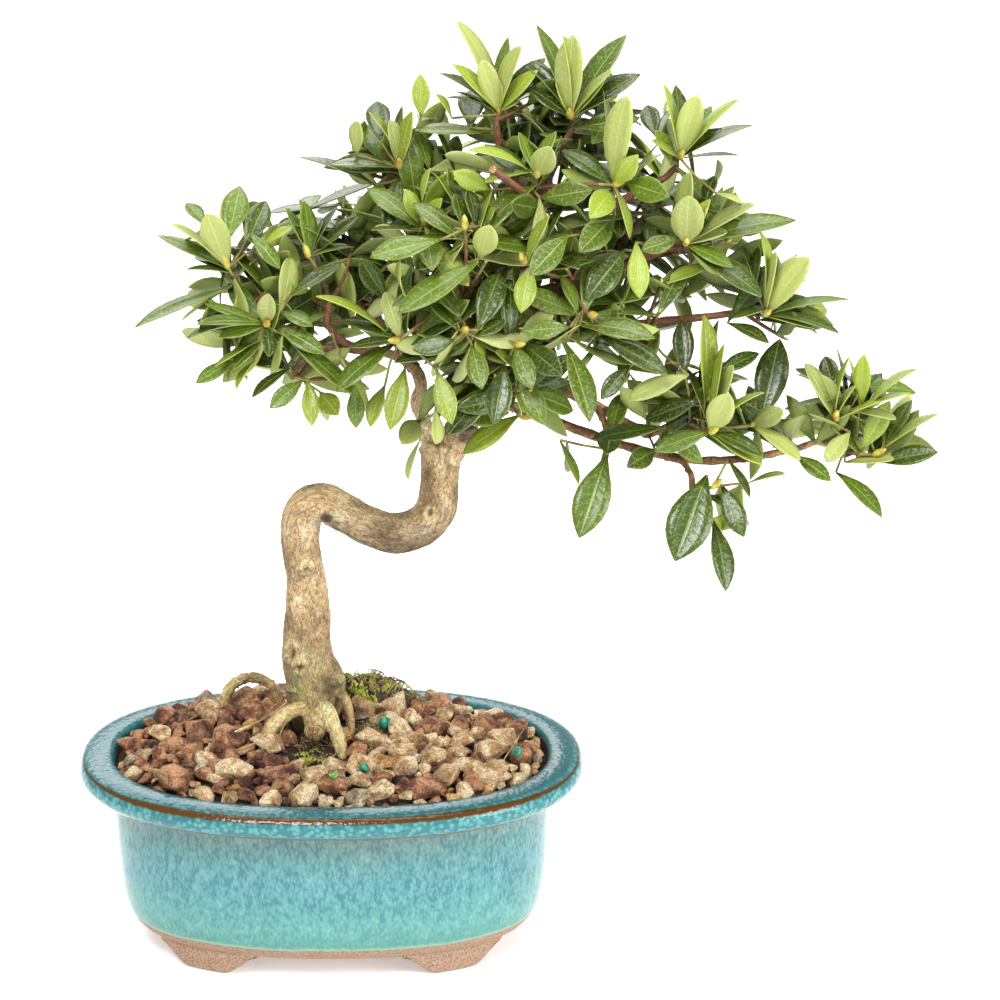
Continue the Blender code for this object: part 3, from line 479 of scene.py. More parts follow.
# %% [markdown]
# Molten glaze creeps away from an edge, and the iron in the clay then shows through it brown.
# Three such lines run round the pot: on the edge of the lip, under it, and inside. Painting
# them on the mesh would need a very fine one, so each is a distance from a point of the section.

# %% Lines where the glaze pulled thin
# (inset, height, half-width in mm, colour)
THIN_LINES = ((1.45, 66, 1.35, "#4c300c"), (2.5, 59, 1.1, "#6a5744"),
              (12.2, 63.4, 2.3, "#3a261c"))
jitter = add(tree, "TexNoise", {"Scale": 400, "Detail": 2, "Vector": coords})
# towards the ends of the oval the glaze held on, and the lines get narrower
NARROW_FROM = 55.0  # mm from the middle of the pot, to its end
from_middle = add(tree, "Math", {"operation": "ADD", 0: axes.outputs["X"], 1: -POT_MIDDLE.x})
sideways = add(tree, "Math", {"operation": "ABSOLUTE", 0: from_middle})
narrowed = add(tree, "MapRange", {"From Min": NARROW_FROM * MM, "To Max": 0.95,
                                  "From Max": POT_HALF_LENGTH * MM, "Value": sideways})
for line_inset, line_height, half_width, colour in THIN_LINES:
    away = add(tree, "CombineXYZ", {"X": inset, "Y": height})
    reach = add(tree, "VectorMath",
                {"operation": "DISTANCE", 0: away, 1: (line_inset, line_height, 0)})
    ragged = add(tree, "Math", {"operation": "MULTIPLY_ADD", 0: jitter, 1: 0.9, 2: -0.45})
    edge = add(tree, "Math", {"operation": "ADD", 0: reach, 1: ragged})
    edge = add(tree, "Math", {"operation": "ADD", 0: edge, 1: narrowed})
    share = add(tree, "MapRange",
                {"From Min": half_width * 1.25, "From Max": half_width * 0.75, "Value": edge})
    coat = add(tree, "Mix", {"data_type": "RGBA", 0: share, 6: coat, 7: linear(colour)})
print("thin lines", len(THIN_LINES))

# %% Inside wall and bare clay
GLAZE_END = 12.6  # mm above the table
inside = add(tree, "MapRange", {"From Min": 12, "From Max": 12.6, "Value": inset})
above = add(tree, "MapRange", {"From Min": 40, "From Max": 41, "Value": height})
in_bowl = add(tree, "Math", {"operation": "MULTIPLY", 0: inside, 1: above})
coat = add(tree, "Mix", {"data_type": "RGBA", 0: in_bowl, 6: coat, 7: linear("#3a261c")})
glaze_level = add(tree, "Math", {"operation": "MULTIPLY_ADD", 0: uneven, 1: 0.2, 2: height})
bead = add(tree, "MapRange",
           {"From Min": GLAZE_END + 1.3, "From Max": GLAZE_END + 0.3, "Value": glaze_level})
bead_share = add(tree, "Math", {"operation": "MULTIPLY", 0: bead, 1: 0.6})
coat = add(tree, "Mix", {"data_type": "RGBA", 0: bead_share, 6: coat, 7: linear("#93b79c")})
clay_share = add(tree, "MapRange", {"From Min": GLAZE_END + 0.25, "From Max": GLAZE_END - 0.25,
                                    "Value": glaze_level})
# clay with a grog of about 0.6 mm
grog = add(tree, "TexNoise", {"Scale": 1500, "Detail": 3, "Vector": coords})
clay = add(tree, "ValToRGB",
           {"stops": ((0.35, "#7f6350"), (0.5, "#9b7f69"), (0.68, "#ab9079")), "Fac": grog})
surface = add(tree, "Mix", {"data_type": "RGBA", 0: clay_share, 6: coat, 7: clay})
print("glaze ends", GLAZE_END, "mm above the table")

# %% Shine and relief, and the finished pot
GLAZE_ROUGHNESS, CLAY_ROUGHNESS = 0.13, 0.85
shine = add(tree, "MapRange",
            {"To Min": GLAZE_ROUGHNESS, "To Max": CLAY_ROUGHNESS, "Value": clay_share})
lip_bubbles = add(tree, "Math", {"operation": "MULTIPLY", 0: bubbles, 1: lip_share})
uneven_coat = add(tree, "Math",
                  {"operation": "MULTIPLY_ADD", 0: lip_bubbles, 1: -1.4, 2: bead_tone})
thickness = add(tree, "Math",
                {"operation": "MULTIPLY_ADD", 0: clay_share, 1: -3, 2: uneven_coat})
relief = add(tree, "Bump", {"Strength": 0.3, "Distance": 0.0003, "Height": thickness})
# a thick and slightly milky glaze shines less than a clear one
put(shader, {"Base Color": surface, "Roughness": shine, "Normal": relief,
             "Specular IOR Level": 0.36})
new_piece("glazed_pot", bowl, [glaze], ["pot"])

# %% [markdown]
# ## Soil and stones
# Growers pack the pot with soil and heap it towards the trunk so that water runs off, then
# dress it with crushed lava and pumice to hold the damp. The mound is one more spin, shaped by
# the same oval as the pot, because a flat disc would show no heap at the trunk.

# %% Soil mound
MOUND_EDGE = 62.5  # mm above the table, at the wall
MOUND_RISE = 8.5
MOUND_POWER = 3.0
MOUND_INSET = 12.1  # from the rim's outline to the soil's edge
MOUND_SHARES = (0, 0.12, 0.25, 0.38, 0.5, 0.61, 0.71, 0.8, 0.88, 0.94, 0.98, 1)
MOUND_SKIRT = 6.0  # mm that its edge reaches down between soil and wall
SOIL_LUMPS = 0.9  # mm high
SOIL_LUMP_SIZE = 3.0  # mm


def out_share(x, y, inset=MOUND_INSET):
    """How far out a place lies towards the pot's wall: 0 in the middle, 1 at the soil's edge."""
    return ((abs(x) / (POT_HALF_LENGTH - inset)) ** OVAL_POWER
            + (abs(y) / (POT_HALF_DEPTH - inset)) ** OVAL_POWER) ** (1 / OVAL_POWER)


def mound_height(x, y):
    return MOUND_EDGE + MOUND_RISE * (1 - min(out_share(x, y), 1) ** MOUND_POWER)


earth = bmesh.new()
section = [(SPUN_RADIUS * (1 - share), 0) for share in MOUND_SHARES]
section += [(0, -MOUND_SKIRT), (SPUN_RADIUS, -MOUND_SKIRT)]
spin_section(earth, section, 0, math.tau, POT_STEPS)
bmesh.ops.remove_doubles(earth, verts=earth.verts[:], dist=SEAM_REACH)
for vert in earth.verts:
    share = math.hypot(vert.co.x, vert.co.y) / SPUN_RADIUS
    spot = oval_point(math.atan2(vert.co.y, vert.co.x), MOUND_INSET, 0) * share
    drop = vert.co.z
    spot.z = mound_height(spot.x, spot.y) + drop
    if drop == 0:
        spot.z += SOIL_LUMPS * noise.noise(spot / SOIL_LUMP_SIZE)
    vert.co = at(*spot)
bmesh.ops.recalc_face_normals(earth, faces=earth.faces[:])
print("soil stands", round(mound_height(0, 0), 1), "mm high in its middle")

# %% [markdown]
# Damp soil is dark and matt; here it is painted almost black, as painted shade in the gaps
# between the stones. Lava is dull red-brown and full of pinholes, pumice and granite chips are
# tan to grey with specks. One function makes the finish of every kind from its own three tones,
# so that all of them share the same grain and roughness.

# %% Stone and soil finishes
def stone_finish(name, tones, patch=260, roughness=0.85):
    """Tones in patches of 2 to 4 mm, grit, and pinholes of about half a millimetre."""
    finish, tree, shader = new_finish(name, roughness=roughness)
    coords = add(tree, "TexCoord").outputs["Object"]
    patches = add(tree, "TexNoise",
                  {"Scale": patch, "Detail": 6, "Roughness": 0.7, "Vector": coords})
    # one stone is paler than the next, so the tone also drifts over about 10 mm
    drift = add(tree, "TexNoise", {"Scale": 95, "Detail": 1, "Vector": coords})
    drifted = add(tree, "Math", {"operation": "MULTIPLY_ADD", 0: drift, 1: 0.7, 2: -0.31})
    place = add(tree, "Math", {"operation": "ADD", 0: patches, 1: drifted})
    tone = add(tree, "ValToRGB",
               {"stops": ((0.36, tones[0]), (0.5, tones[1]), (0.64, tones[2])), "Fac": place})
    pits = add(tree, "TexVoronoi", {"Scale": 850, "Vector": coords})
    pit = add(tree, "MapRange",
              {"From Min": 0.06, "From Max": 0.26, "To Min": 0.25, "Value": pits})
    grit = add(tree, "TexNoise",
               {"Scale": 1300, "Detail": 4, "Roughness": 0.8, "Vector": coords})
    speck = add(tree, "MapRange", {"From Min": 0.36, "From Max": 0.64, "To Min": 0.45,
                                   "To Max": 1.42, "Value": grit})
    hole = add(tree, "Math", {"operation": "MULTIPLY", 0: pit, 1: speck})
    pitted = add(tree, "Mix",
                 {"data_type": "RGBA", "blend_type": "MULTIPLY", 0: 1, 6: tone, 7: hole})
    put(shader, {"Base Color": pitted})
    grain = add(tree, "Math", {"operation": "ADD", 0: patches, 1: hole})
    relief = add(tree, "Bump", {"Strength": 0.9, "Distance": 0.0006, "Height": grain})
    put(shader, {"Normal": relief})
    return finish


# damp soil, dark brown and painted almost black as shade between the stones, with paler crumbs of
# bark
soil_finish = stone_finish("damp_soil_with_painted_shade", ("#150c07", "#28180f", "#4c3222"), patch=500)
new_piece("soil", earth, [soil_finish], ["gravel"])

# what each kind of stone looks like, from its dark to its pale tone
STONE_TONES = {
    "lava_stones": ("#452719", "#8a583c", "#d09c6e"),
    "tan_stones": ("#96744b", "#d6ad7b", "#fbe5b9"),
    "grey_stones": ("#776650", "#ac977a", "#e0cfae"),
    "ochre_stones": ("#96642f", "#c99551", "#eac48a"),
}
print("stone kinds", len(STONE_TONES))

# %% [markdown]
# The stones lie as they were thrown: big ones first, smaller ones in the gaps between them, few
# on the ground under the roots. Each is the hull of a few scattered points, the quickest way to
# a broken-looking lump, and its edges are bevelled a little, since no crushed stone is razor
# sharp. Scattering one mesh many times would show its repeats, so every stone is its own.

# %% Layers of stones, and where none lie
# each layer: radius from, to, least spacing in radii, height over the soil in radii, tries
STONE_LAYERS = ((4.8, 7.3, 1.4, 0.36, 3000), (3.2, 4.6, 1.18, 0.5, 3000),
                (1.7, 3, 1.06, 0.7, 5000))
STONE_HEAP = 3.4  # mm that the stones are heaped higher at the back left
STONE_CLEAR = 13.0  # mm from the middle of the trunk's foot
TRUNK_PLACE = (-5.6, 7)
MOSS_CENTRE = (9, 30.5)
MOSS_HALF_WIDTH = 23.0
MOSS_HALF_DEPTH = 11.5
# bare ground between and beside the front roots: middle and half-sizes
HOLLOWS = (((-4, -13), (12.5, 12)), ((11, 7), (8, 9)))


def in_hollow(x, y):
    return any(((x - middle_x) / half_x) ** 2 + ((y - middle_y) / half_y) ** 2 < 1
               for (middle_x, middle_y), (half_x, half_y) in HOLLOWS)


def in_moss(x, y, margin=0):
    return ((x - MOSS_CENTRE[0]) / (MOSS_HALF_WIDTH + margin)) ** 2 \
        + ((y - MOSS_CENTRE[1]) / (MOSS_HALF_DEPTH + margin)) ** 2 < 1


print("layers of stones", len(STONE_LAYERS))

# %% One stone
STONE_CORNERS = 15
STONE_FLAT = 0.78  # its height, as a share of its width
STONE_EDGE = 0.35  # mm, worn off each edge of the biggest


def add_stone(bm, rng, place, radius, corners=STONE_CORNERS, edge=STONE_EDGE):
    """A broken lump: the hull of points scattered on a ball that is stretched and flattened."""
    stretch = Vector((rng.uniform(0.95, 1.3), rng.uniform(0.75, 1),
                      STONE_FLAT * rng.uniform(0.85, 1.1))) * radius * MM
    turn = Matrix.Rotation(rng.uniform(0, math.tau), 3, "Z") @ \
        Matrix.Rotation(rng.uniform(-0.5, 0.5), 3, "X")
    lump = bmesh.new()
    for _ in range(corners):
        spot = Vector([rng.gauss(0, 1) for _ in range(3)]).normalized() * rng.uniform(0.82, 1.05)
        lump.verts.new(turn @ (spot * stretch))
    bmesh.ops.convex_hull(lump, input=lump.verts[:])
    bmesh.ops.delete(lump, geom=[v for v in lump.verts if not v.link_faces], context="VERTS")
    if edge:
        bmesh.ops.bevel(lump, geom=lump.edges[:], offset=edge * MM, segments=1, profile=0.5,
                        affect="EDGES", material=-1)
    bmesh.ops.translate(lump, verts=lump.verts[:], vec=place)
    absorb(bm, lump)


print("a stone has", STONE_CORNERS, "corners before its edges are worn")

# %% Scatter the stones
rng = random.Random(5)
heaps = {name: bmesh.new() for name in STONE_TONES}
placed = []
for low, high, spacing, stand, tries in STONE_LAYERS:
    for _ in range(tries):
        x = rng.uniform(-1, 1) * POT_HALF_LENGTH
        y = rng.uniform(-1, 1) * POT_HALF_DEPTH
        radius = rng.uniform(low, high)
        if out_share(x, y, MOUND_INSET + radius * 0.75) > 1:
            continue
        if math.dist((x, y), TRUNK_PLACE) < STONE_CLEAR or in_moss(x, y, -0.5 * radius):
            continue
        if in_hollow(x, y) and radius > STONE_LAYERS[2][0]:
            continue
        if any(math.dist((x, y), spot) < spacing / 2 * (radius + other)
               for *spot, other in placed):
            continue
        placed.append((x, y, radius))
        # more red lava at the left, more tan, grey and ochre at the right
        rightness = 0.5 + 0.5 * x / POT_HALF_LENGTH
        pick = rng.random()
        kind = ("lava_stones" if pick < 0.86 - 0.66 * rightness else
                "tan_stones" if pick < 0.93 - 0.13 * rightness else
                "grey_stones" if pick < 0.97 - 0.08 * rightness else "ochre_stones")
        heap = STONE_HEAP * min(max(y, 0) / 30, 1) * (1.0 if x < 0 else 0.45)
        add_stone(heaps[kind], rng, at(x, y, mound_height(x, y) + stand * radius + heap), radius,
                  edge=STONE_EDGE * radius / STONE_LAYERS[0][1])

for name, tones in STONE_TONES.items():
    new_piece(name, heaps[name], [stone_finish(name[:-1] + "_rock", tones)],
              smooth=False)
print("stones", len(placed))

# %% Crumbs between the stones
# what breaks off on the way to the pot: too small to need worn edges
CRUMB_COUNT = 900
CRUMB_CORNERS = 9
CRUMB_RADII = (0.5, 1.3)  # mm
CRUMB_LIFT = (0.2, 1.6)  # mm over the soil
crumbs = bmesh.new()
for _ in range(CRUMB_COUNT):
    x = rng.uniform(-1, 1) * POT_HALF_LENGTH
    y = rng.uniform(-1, 1) * POT_HALF_DEPTH
    if out_share(x, y, MOUND_INSET + 1) < 1:
        add_stone(crumbs, rng, at(x, y, mound_height(x, y) + rng.uniform(*CRUMB_LIFT)),
                  rng.uniform(*CRUMB_RADII), corners=CRUMB_CORNERS, edge=0)
# crumbs are broken lava and bark: dark, dull, reddish
crumb_finish = stone_finish("lava_crumbs", ("#2c1a13", "#57382a", "#8a6650"), patch=700)
new_piece("crumbs", crumbs, [crumb_finish], smooth=False)

# %% [markdown]
# ## Moss, rootlets and what lies about
# Moss creeps over a low bank of fine dark soil behind the trunk and into the hollow under the
# sawn stub. A carpet of it is thousands of tiny upright shoots, too many to make one by one in
# full, so each is a short tapering tube with four sides. Fine feeding roots curl out of the
# bank, a few balls of fertiliser lie on the stones, and a dry straw or two.

# %% Ground, and tubes to grow on it
MOSS_BANK_HEIGHT = 13.0  # mm over the soil


def bank_height(x, y):
    """The ground behind the trunk: the mound with a rough bank of fine soil on it."""
    out = math.hypot((x - MOSS_CENTRE[0]) / (MOSS_HALF_WIDTH + 2),
                     (y - MOSS_CENTRE[1]) / (MOSS_HALF_DEPTH + 1.5))
    rough = 0.9 * noise.noise(Vector((x, y, 3)) / 4.5)
    return mound_height(x, y) + max(MOSS_BANK_HEIGHT * (1 - out ** 2.2) + rough, -0.8)


def tubes(name, paths, ring):
    """Closed tubes along paths of (x, y, z, radius) in mm, 4 + 2 x ring sides each, as a mesh."""
    curve = bpy.data.curves.new(name, "CURVE")
    curve.dimensions = "3D"
    curve.bevel_depth = 1.0
    curve.bevel_resolution = ring
    curve.use_fill_caps = True
    for stations in paths:
        line = curve.splines.new("POLY")
        line.points.add(len(stations) - 1)
        for knot, station in zip(line.points, stations):
            knot.co = (*at(*station.xyz), 1)
            knot.radius = station.w * MM
    holder = bpy.data.objects.new(name, curve)
    mesh = bpy.data.meshes.new_from_object(holder)
    bpy.data.objects.remove(holder)
    bpy.data.curves.remove(curve)
    return mesh


print("the bank stands", round(bank_height(*MOSS_CENTRE), 1), "mm high")

# %% Bank of fine soil
BANK_RIM = 0.97  # share of its radius from where it dips into the soil
BANK_DIP = -1.2  # mm
bank = bmesh.new()
bmesh.ops.create_circle(bank, cap_ends=True, cap_tris=True, radius=1, segments=40)
bmesh.ops.subdivide_edges(bank, edges=bank.edges[:], cuts=7, use_grid_fill=True)
for vert in bank.verts:
    x = MOSS_CENTRE[0] + vert.co.x * (MOSS_HALF_WIDTH + 2.5)
    y = MOSS_CENTRE[1] + vert.co.y * (MOSS_HALF_DEPTH + 2)
    dip = BANK_DIP if math.hypot(vert.co.x, vert.co.y) > BANK_RIM else 0.0
    vert.co = at(x, y, bank_height(x, y) + dip)
peat = stone_finish("fine_peat", ("#1d120b", "#3a281a", "#5e4a33"), patch=600)
new_piece("peat_bank", bank, [peat], ["moss_bank"])

# %% Moss shoots
# each patch: middle, half-sizes, half the number of shoots tried
MOSS_PATCHES = (((4, 30), (16, 10.5), 520), ((20, 29), (12, 9), 150),
                ((14, 13), (9, 12), 300), ((-4, -16), (8.5, 7.5), 420),
                ((8.5, -9), (5, 12), 230), ((-7, -3), (9, 5), 60))
MOSS_SHOOT = (0.9, 2)  # mm long
MOSS_RADIUS = 0.36
CUSHION_SIZE = 3.4  # mm
rng = random.Random(8)
moss_paths = []
for (middle_x, middle_y), (half_x, half_y), count in MOSS_PATCHES:
    for _ in range(count * 2):
        turn, out = rng.uniform(0, math.tau), math.sqrt(rng.random())
        x, y = middle_x + half_x * out * math.cos(turn), middle_y + half_y * out * math.sin(turn)
        # moss grows in cushions, with bare ground between them
        if noise.noise(Vector((x, y, 9)) / CUSHION_SIZE) < 0.0:
            continue
        foot = Vector((x, y, bank_height(x, y) - 0.3))
        lean = Vector((rng.gauss(0, 0.35), rng.gauss(0, 0.35), 1)).normalized()
        length = rng.uniform(*MOSS_SHOOT)
        moss_paths.append([Vector((*foot, MOSS_RADIUS)),
                           Vector((*(foot + lean * length * 0.6), MOSS_RADIUS * 1.3)),
                           Vector((*(foot + lean * length), MOSS_RADIUS * 0.3))])
# moss: soft, matt, yellow-green at the tips of its cushions
moss_finish = mottled_finish("living_moss", 0.95, 330, 4,
                             ((0.33, "#4c5519"), (0.5, "#838b30"), (0.67, "#bbb958")))
dress("moss_shoots", tubes("moss_shoots", moss_paths, 0), [moss_finish], ["moss_bank"])
print("moss shoots", len(moss_paths))

# %% Rootlets and straws
ROOTLET_PATCHES = (((17, 27), (15, 10), 80), ((13, 6), (9, 12), 90),
                   ((-4, -10), (12, 7), 26), ((-22, 14), (10, 8), 34))
ROOTLET_ARCH = 2.4  # mm that they rise over the ground at most
# straws that lie on the stones, from end to end
STRAWS = (((-19, -14, 73), (-13.5, -6, 84)), ((-34, -16, 72.5), (-16, -9, 76)),
          ((58, -20, 72), (66, 2, 76)), ((-52, 10, 72), (-38, 20, 74.5)))


def curl(start, heading, length, radius, wander, steps=7):
    """A thin root that changes its way a little at every step."""
    path = [Vector((*start, radius))]
    for step in range(steps):
        heading = (heading + Vector([rng.gauss(0, wander) for _ in range(3)])).normalized()
        spot = path[-1].xyz + heading * length / steps
        ground = bank_height(spot.x, spot.y)
        spot.z = min(max(spot.z, ground + 0.2), ground + ROOTLET_ARCH)
        path.append(Vector((*spot, radius * (1 - 0.7 * (step + 1) / steps))))
    return path


roots = []
for (middle_x, middle_y), (half_x, half_y), count in ROOTLET_PATCHES:
    for _ in range(count):
        x, y = rng.gauss(middle_x, half_x / 2), rng.gauss(middle_y, half_y / 2)
        if out_share(x, y) < 0.96:
            way = Vector((rng.gauss(0, 1), rng.gauss(0, 1), rng.uniform(-0.1, 0.3))).normalized()
            roots.append(curl((x, y, bank_height(x, y) + rng.uniform(0.2, 2)), way,
                              rng.uniform(4, 13), rng.uniform(0.14, 0.32), 0.55))
rootlet_skin = stone_finish("dry_rootlets", ("#5a3c26", "#94704c", "#cfb48a"), patch=300)
dress("rootlets", tubes("rootlets", roots, 0), [rootlet_skin])
straw_paths = [[Vector((*a, 0.22)), Vector((*[(p + q) / 2 + 0.4 for p, q in zip(a, b)], 0.26)),
                Vector((*b, 0.12))] for a, b in STRAWS]
straw_skin = stone_finish("dry_straw", ("#8a6f40", "#b99a5e", "#dcc48c"), patch=200)
dress("straws", tubes("straws", straw_paths, 1), [straw_skin])
print("rootlets", len(roots), "straws", len(STRAWS))

# %% Balls of fertiliser
FERTILISER = ((18, 3, 75.4, 2.3), (62.5, -16, 73.2, 1.7), (11.8, -29, 73, 1.5))
balls = bmesh.new()
for x, y, z, radius in FERTILISER:
    for vert in bmesh.ops.create_icosphere(balls, subdivisions=3, radius=radius)["verts"]:
        dent = 1 + 0.07 * noise.noise(vert.co / 0.9)
        vert.co = at(x, y, z) + vert.co * dent * MM
# coated granules: a thin waxy green shell
shell = mottled_finish("waxy_fertiliser_shell", 0.4, 900, 2,
                       ((0.4, "#0f5a45"), (0.62, "#2f9a78")))
new_piece("fertiliser_balls", balls, [shell])
print("balls", len(FERTILISER))

# %% Seedling
# the first leaves of a weed that came up between the stones
SEEDLING = (1.9, -37, 72.4)
SEEDLING_LEAVES = ((0.3, 1.1), (2.7, 1), (4.5, 1.2), (1.5, 1))  # turn, radius in mm
sprout = bmesh.new()
for turn, radius in SEEDLING_LEAVES:
    blade = bmesh.ops.create_circle(sprout, cap_ends=True, cap_tris=True, radius=radius * MM,
                                    segments=12)["verts"]
    place = (Matrix.Translation(at(*SEEDLING)) @ Matrix.Rotation(turn, 4, "Z")
             @ Matrix.Rotation(-0.9, 4, "Y") @ Matrix.Translation((radius * 1.1 * MM, 0, 0))
             @ Matrix.Diagonal((1.15, 0.8, 1, 1)))
    bmesh.ops.transform(sprout, matrix=place, verts=blade)
bmesh.ops.solidify(sprout, geom=sprout.faces[:], thickness=0.2 * MM)
# tender leaf: smooth, pale green
tender = mottled_finish("tender_seed_leaf", 0.5, 900, 2,
                        ((0.4, "#4f8a34"), (0.62, "#86bd62")))
new_piece("weed_seedling", sprout, [tender])

# %% [markdown]
# ## The wood
# A bonsai's trunk is grown bent: it is wired while young and cut back to side shoots, so it
# rises, folds over and rises again, and each cut leaves a knob. Limbs are rows of places with a
# radius, smoothed by the same curve as on the measured plant, and become tubes by bevelling a
# curve. Tubes alone meet in hard creases, so those of the trunk are fused into one skin by a
# voxel remesh and only then given the bark's relief, which is how bark runs on round a fork.

# %% Trunk, as rows of (x, y, z, radius) in mm
TRUNK_FOOT = 71.3  # height of the soil at the trunk
TRUNK = ((-5.6, 7, TRUNK_FOOT, 13.4), (-5.8, 7.4, 77, 11.6), (-6.6, 8, 86, 10.2),
         (-8, 8, 97, 9), (-7.8, 8, 113, 7.7), (-8.2, 8, 127, 6.8),
         (-9.8, 6.6, 140, 6.5), (-8.4, 5, 150.6, 6.5), (-2, 4, 154.4, 6.5),
         (5.4, 3, 151, 6.5), (14.7, 1.6, 146.2, 6.5), (22.8, 1.6, 144, 6.9),
         (30.6, 2.2, 146.6, 7), (35.6, 3.2, 152.6, 6.7), (36.6, 4.6, 161, 6.3),
         (37.4, 5, 169, 6.6), (38.4, 5, 175.5, 7.6))
print("trunk rows", len(TRUNK))

# %% Boughs
# a bough starts inside its parent limb, and its last row is where it enters its mass of leaves
BOUGHS = {
    "bough_leader": ((39.6, 5, 172, 5.8), (44, 5, 180.5, 5), (48, 5, 187.5, 4.4),
        (51, 4.8, 195.5, 3.4), (55, 4, 206, 2.9), (61, 4.5, 224, 2.5), (66, 6, 243, 2.2),
        (69, 6, 258, 1.9), (74, 4.5, 270, 1.6)),
    "bough_left": ((35, 4.8, 171, 3), (31.6, 4.2, 183, 2.6), (29.6, 3, 190, 2.4),
        (31, 2, 196, 2.2), (28, 0, 203, 2), (20, -3, 208.5, 1.8), (8, -6, 211, 1.6),
        (-6, -8, 212.5, 1.5), (-16, -8.5, 216, 1.3)),
    "bough_top_left": ((67.6, 6, 250, 1.6), (63, 3, 261, 1.5), (57.5, 0, 274, 1.3)),
    "bough_top_right": ((61.5, 4.6, 227, 1.8), (77, 6.5, 243, 1.6), (95, 5, 257, 1.4),
        (108, 3, 265, 1.2)),
    "bough_right_upper": ((56.5, 4.1, 210, 1.9), (72, -0.5, 224, 1.7), (92, -2, 235, 1.5),
        (108, -3.5, 243, 1.3)),
    "bough_right_middle": ((53.5, 4.2, 202, 1.9), (72, 4.6, 210, 1.7), (98, 4, 215.5, 1.5),
        (124, 3, 219, 1.2)),
    "bough_right_low": ((51.5, 4.8, 197, 2), (60, 0.6, 201, 1.9), (68.5, 0, 199.2, 1.8),
        (77.5, -1, 195, 1.7), (88.4, -2.5, 190, 1.6), (96, -4, 186, 1.5), (103, -6, 182.5, 1.4)),
    "bough_outer": ((49.5, 5, 191, 1.9), (60, 7.6, 187, 1.8), (76.5, 8, 180.5, 1.6),
        (98, 7, 173, 1.5), (120, 3, 169.5, 1.4), (137, 0, 171, 1.3), (151, -1, 174, 1.1)),
    "bough_low_spray": ((88.4, -2.5, 190, 1.2), (91, -8, 185.5, 1.1), (91.5, -11, 181, 1)),
    "bough_hanging": ((112, 4.4, 170.2, 1.2), (116.5, -3, 171, 1.1), (118.5, -8, 169.5, 1)),
    "bough_left_inner": ((10, -5.6, 210.8, 1.4), (5, -10.5, 215.5, 1.2), (2, -13, 220, 1.1)),
    "bough_left_low": ((-4, -7.9, 212.3, 1.4), (-7.5, -10, 209, 1.2), (-9.5, -11.5, 206, 1.1)),
    "bough_left_back": ((28.6, 0.4, 202.2, 1.7), (21, 9, 211, 1.5), (12, 16, 219, 1.3)),
    "bough_upper_left": ((60.4, 4.4, 222, 1.9), (48, 4, 238, 1.6), (36, 4, 251, 1.4),
        (30, 4.5, 257.5, 1.2)),
    "bough_front_low": ((50.4, 4.8, 193.5, 1.7), (51.5, -4, 196.5, 1.5), (52, -9.5, 198.5, 1.3)),
    "bough_front_left": ((55.6, 4, 208, 1.7), (50.5, -6, 216, 1.5), (46.5, -13, 223, 1.3)),
    "bough_front_right": ((59, 4.3, 218, 1.7), (66.5, -7, 229.5, 1.5), (74, -14, 234.5, 1.3)),
    "bough_front_top": ((66.8, 6, 247, 1.6), (66, -3, 256.5, 1.4), (66, -10, 261.5, 1.2)),
    "bough_right_inner": ((85, 4.3, 213, 1.4), (92, -3, 214, 1.3), (97, -6.5, 216.5, 1.1)),
    "bough_back": ((52, 4.7, 198.6, 2), (53, 14, 207.5, 1.7), (55, 20.5, 215.5, 1.4)),
    "bough_back_right": ((58, 4.2, 215, 1.8), (71, 13.5, 221, 1.6), (83.5, 20.5, 226, 1.3)),
    "bough_back_top": ((66.4, 6, 245, 1.6), (70, 12, 252.5, 1.4), (72, 15.5, 257.5, 1.2)),
}

print("boughs", len(BOUGHS))

# %% Masses of leaves
# the bough that carries each, the middle and half-sizes of its space in mm, and how far its
# shoots turn up (down below 0)
MASSES = {
    "leaves_left_outer": ("bough_left", (-31, -8, 233), (31, 26, 33), 0.4),
    "leaves_left_inner": ("bough_left_inner", (2, -15, 236), (27, 24, 26), 0.3),
    "leaves_left_low": ("bough_left_low", (-8, -12, 201), (32, 23, 20), -0.5),
    "leaves_left_back": ("bough_left_back", (1, 27, 230), (31, 27, 32), 0.3),
    "leaves_upper_left": ("bough_upper_left", (22, 5, 269), (28, 27, 26), 0.5),
    "leaves_top_left": ("bough_top_left", (54, -2, 295), (22, 23, 24.5), 0.7),
    "leaves_top": ("bough_leader", (86, 0, 295), (22, 23, 24.5), 0.7),
    "leaves_top_right": ("bough_top_right", (118, 2, 274), (22, 23, 23), 0.6),
    "leaves_right_upper": ("bough_right_upper", (128, -5, 246), (27, 25, 20), 0.2),
    "leaves_right_middle": ("bough_right_middle", (144, 3, 222), (27, 23, 18), 0.1),
    "leaves_front_left": ("bough_front_left", (42, -27, 238), (28, 27, 30), 0.2),
    "leaves_front_right": ("bough_front_right", (84, -27, 242), (28, 27, 30), 0.2),
    "leaves_front_low": ("bough_front_low", (57, -20, 202), (33, 22, 20), -0.4),
    "leaves_front_top": ("bough_front_top", (67, -22, 273), (29, 24, 25), 0.4),
    "leaves_right_inner": ("bough_right_inner", (108, -14, 220), (24, 25, 23), 0.1),
    "leaves_back": ("bough_back", (56, 35, 226), (34, 28, 38), 0.2),
    "leaves_back_right": ("bough_back_right", (100, 33, 232), (31, 28, 36), 0.3),
    "leaves_back_top": ("bough_back_top", (74, 27, 271), (32, 25, 27), 0.5),
    "leaves_right_pad": ("bough_right_low", (126, -6, 190), (30, 27, 27), 0.2),
    "leaves_outer_pad": ("bough_outer", (170, -2, 181), (32, 25, 25), 0.2),
    "leaves_low_spray": ("bough_low_spray", (88, -15, 162), (20, 17, 25), -0.9),
    "leaves_hanging": ("bough_hanging", (121, -14, 150), (21, 18, 24), -0.9),
}
FUSED_BOUGHS = ("bough_leader", "bough_left")  # these two are one skin with the trunk
print("masses", len(MASSES))


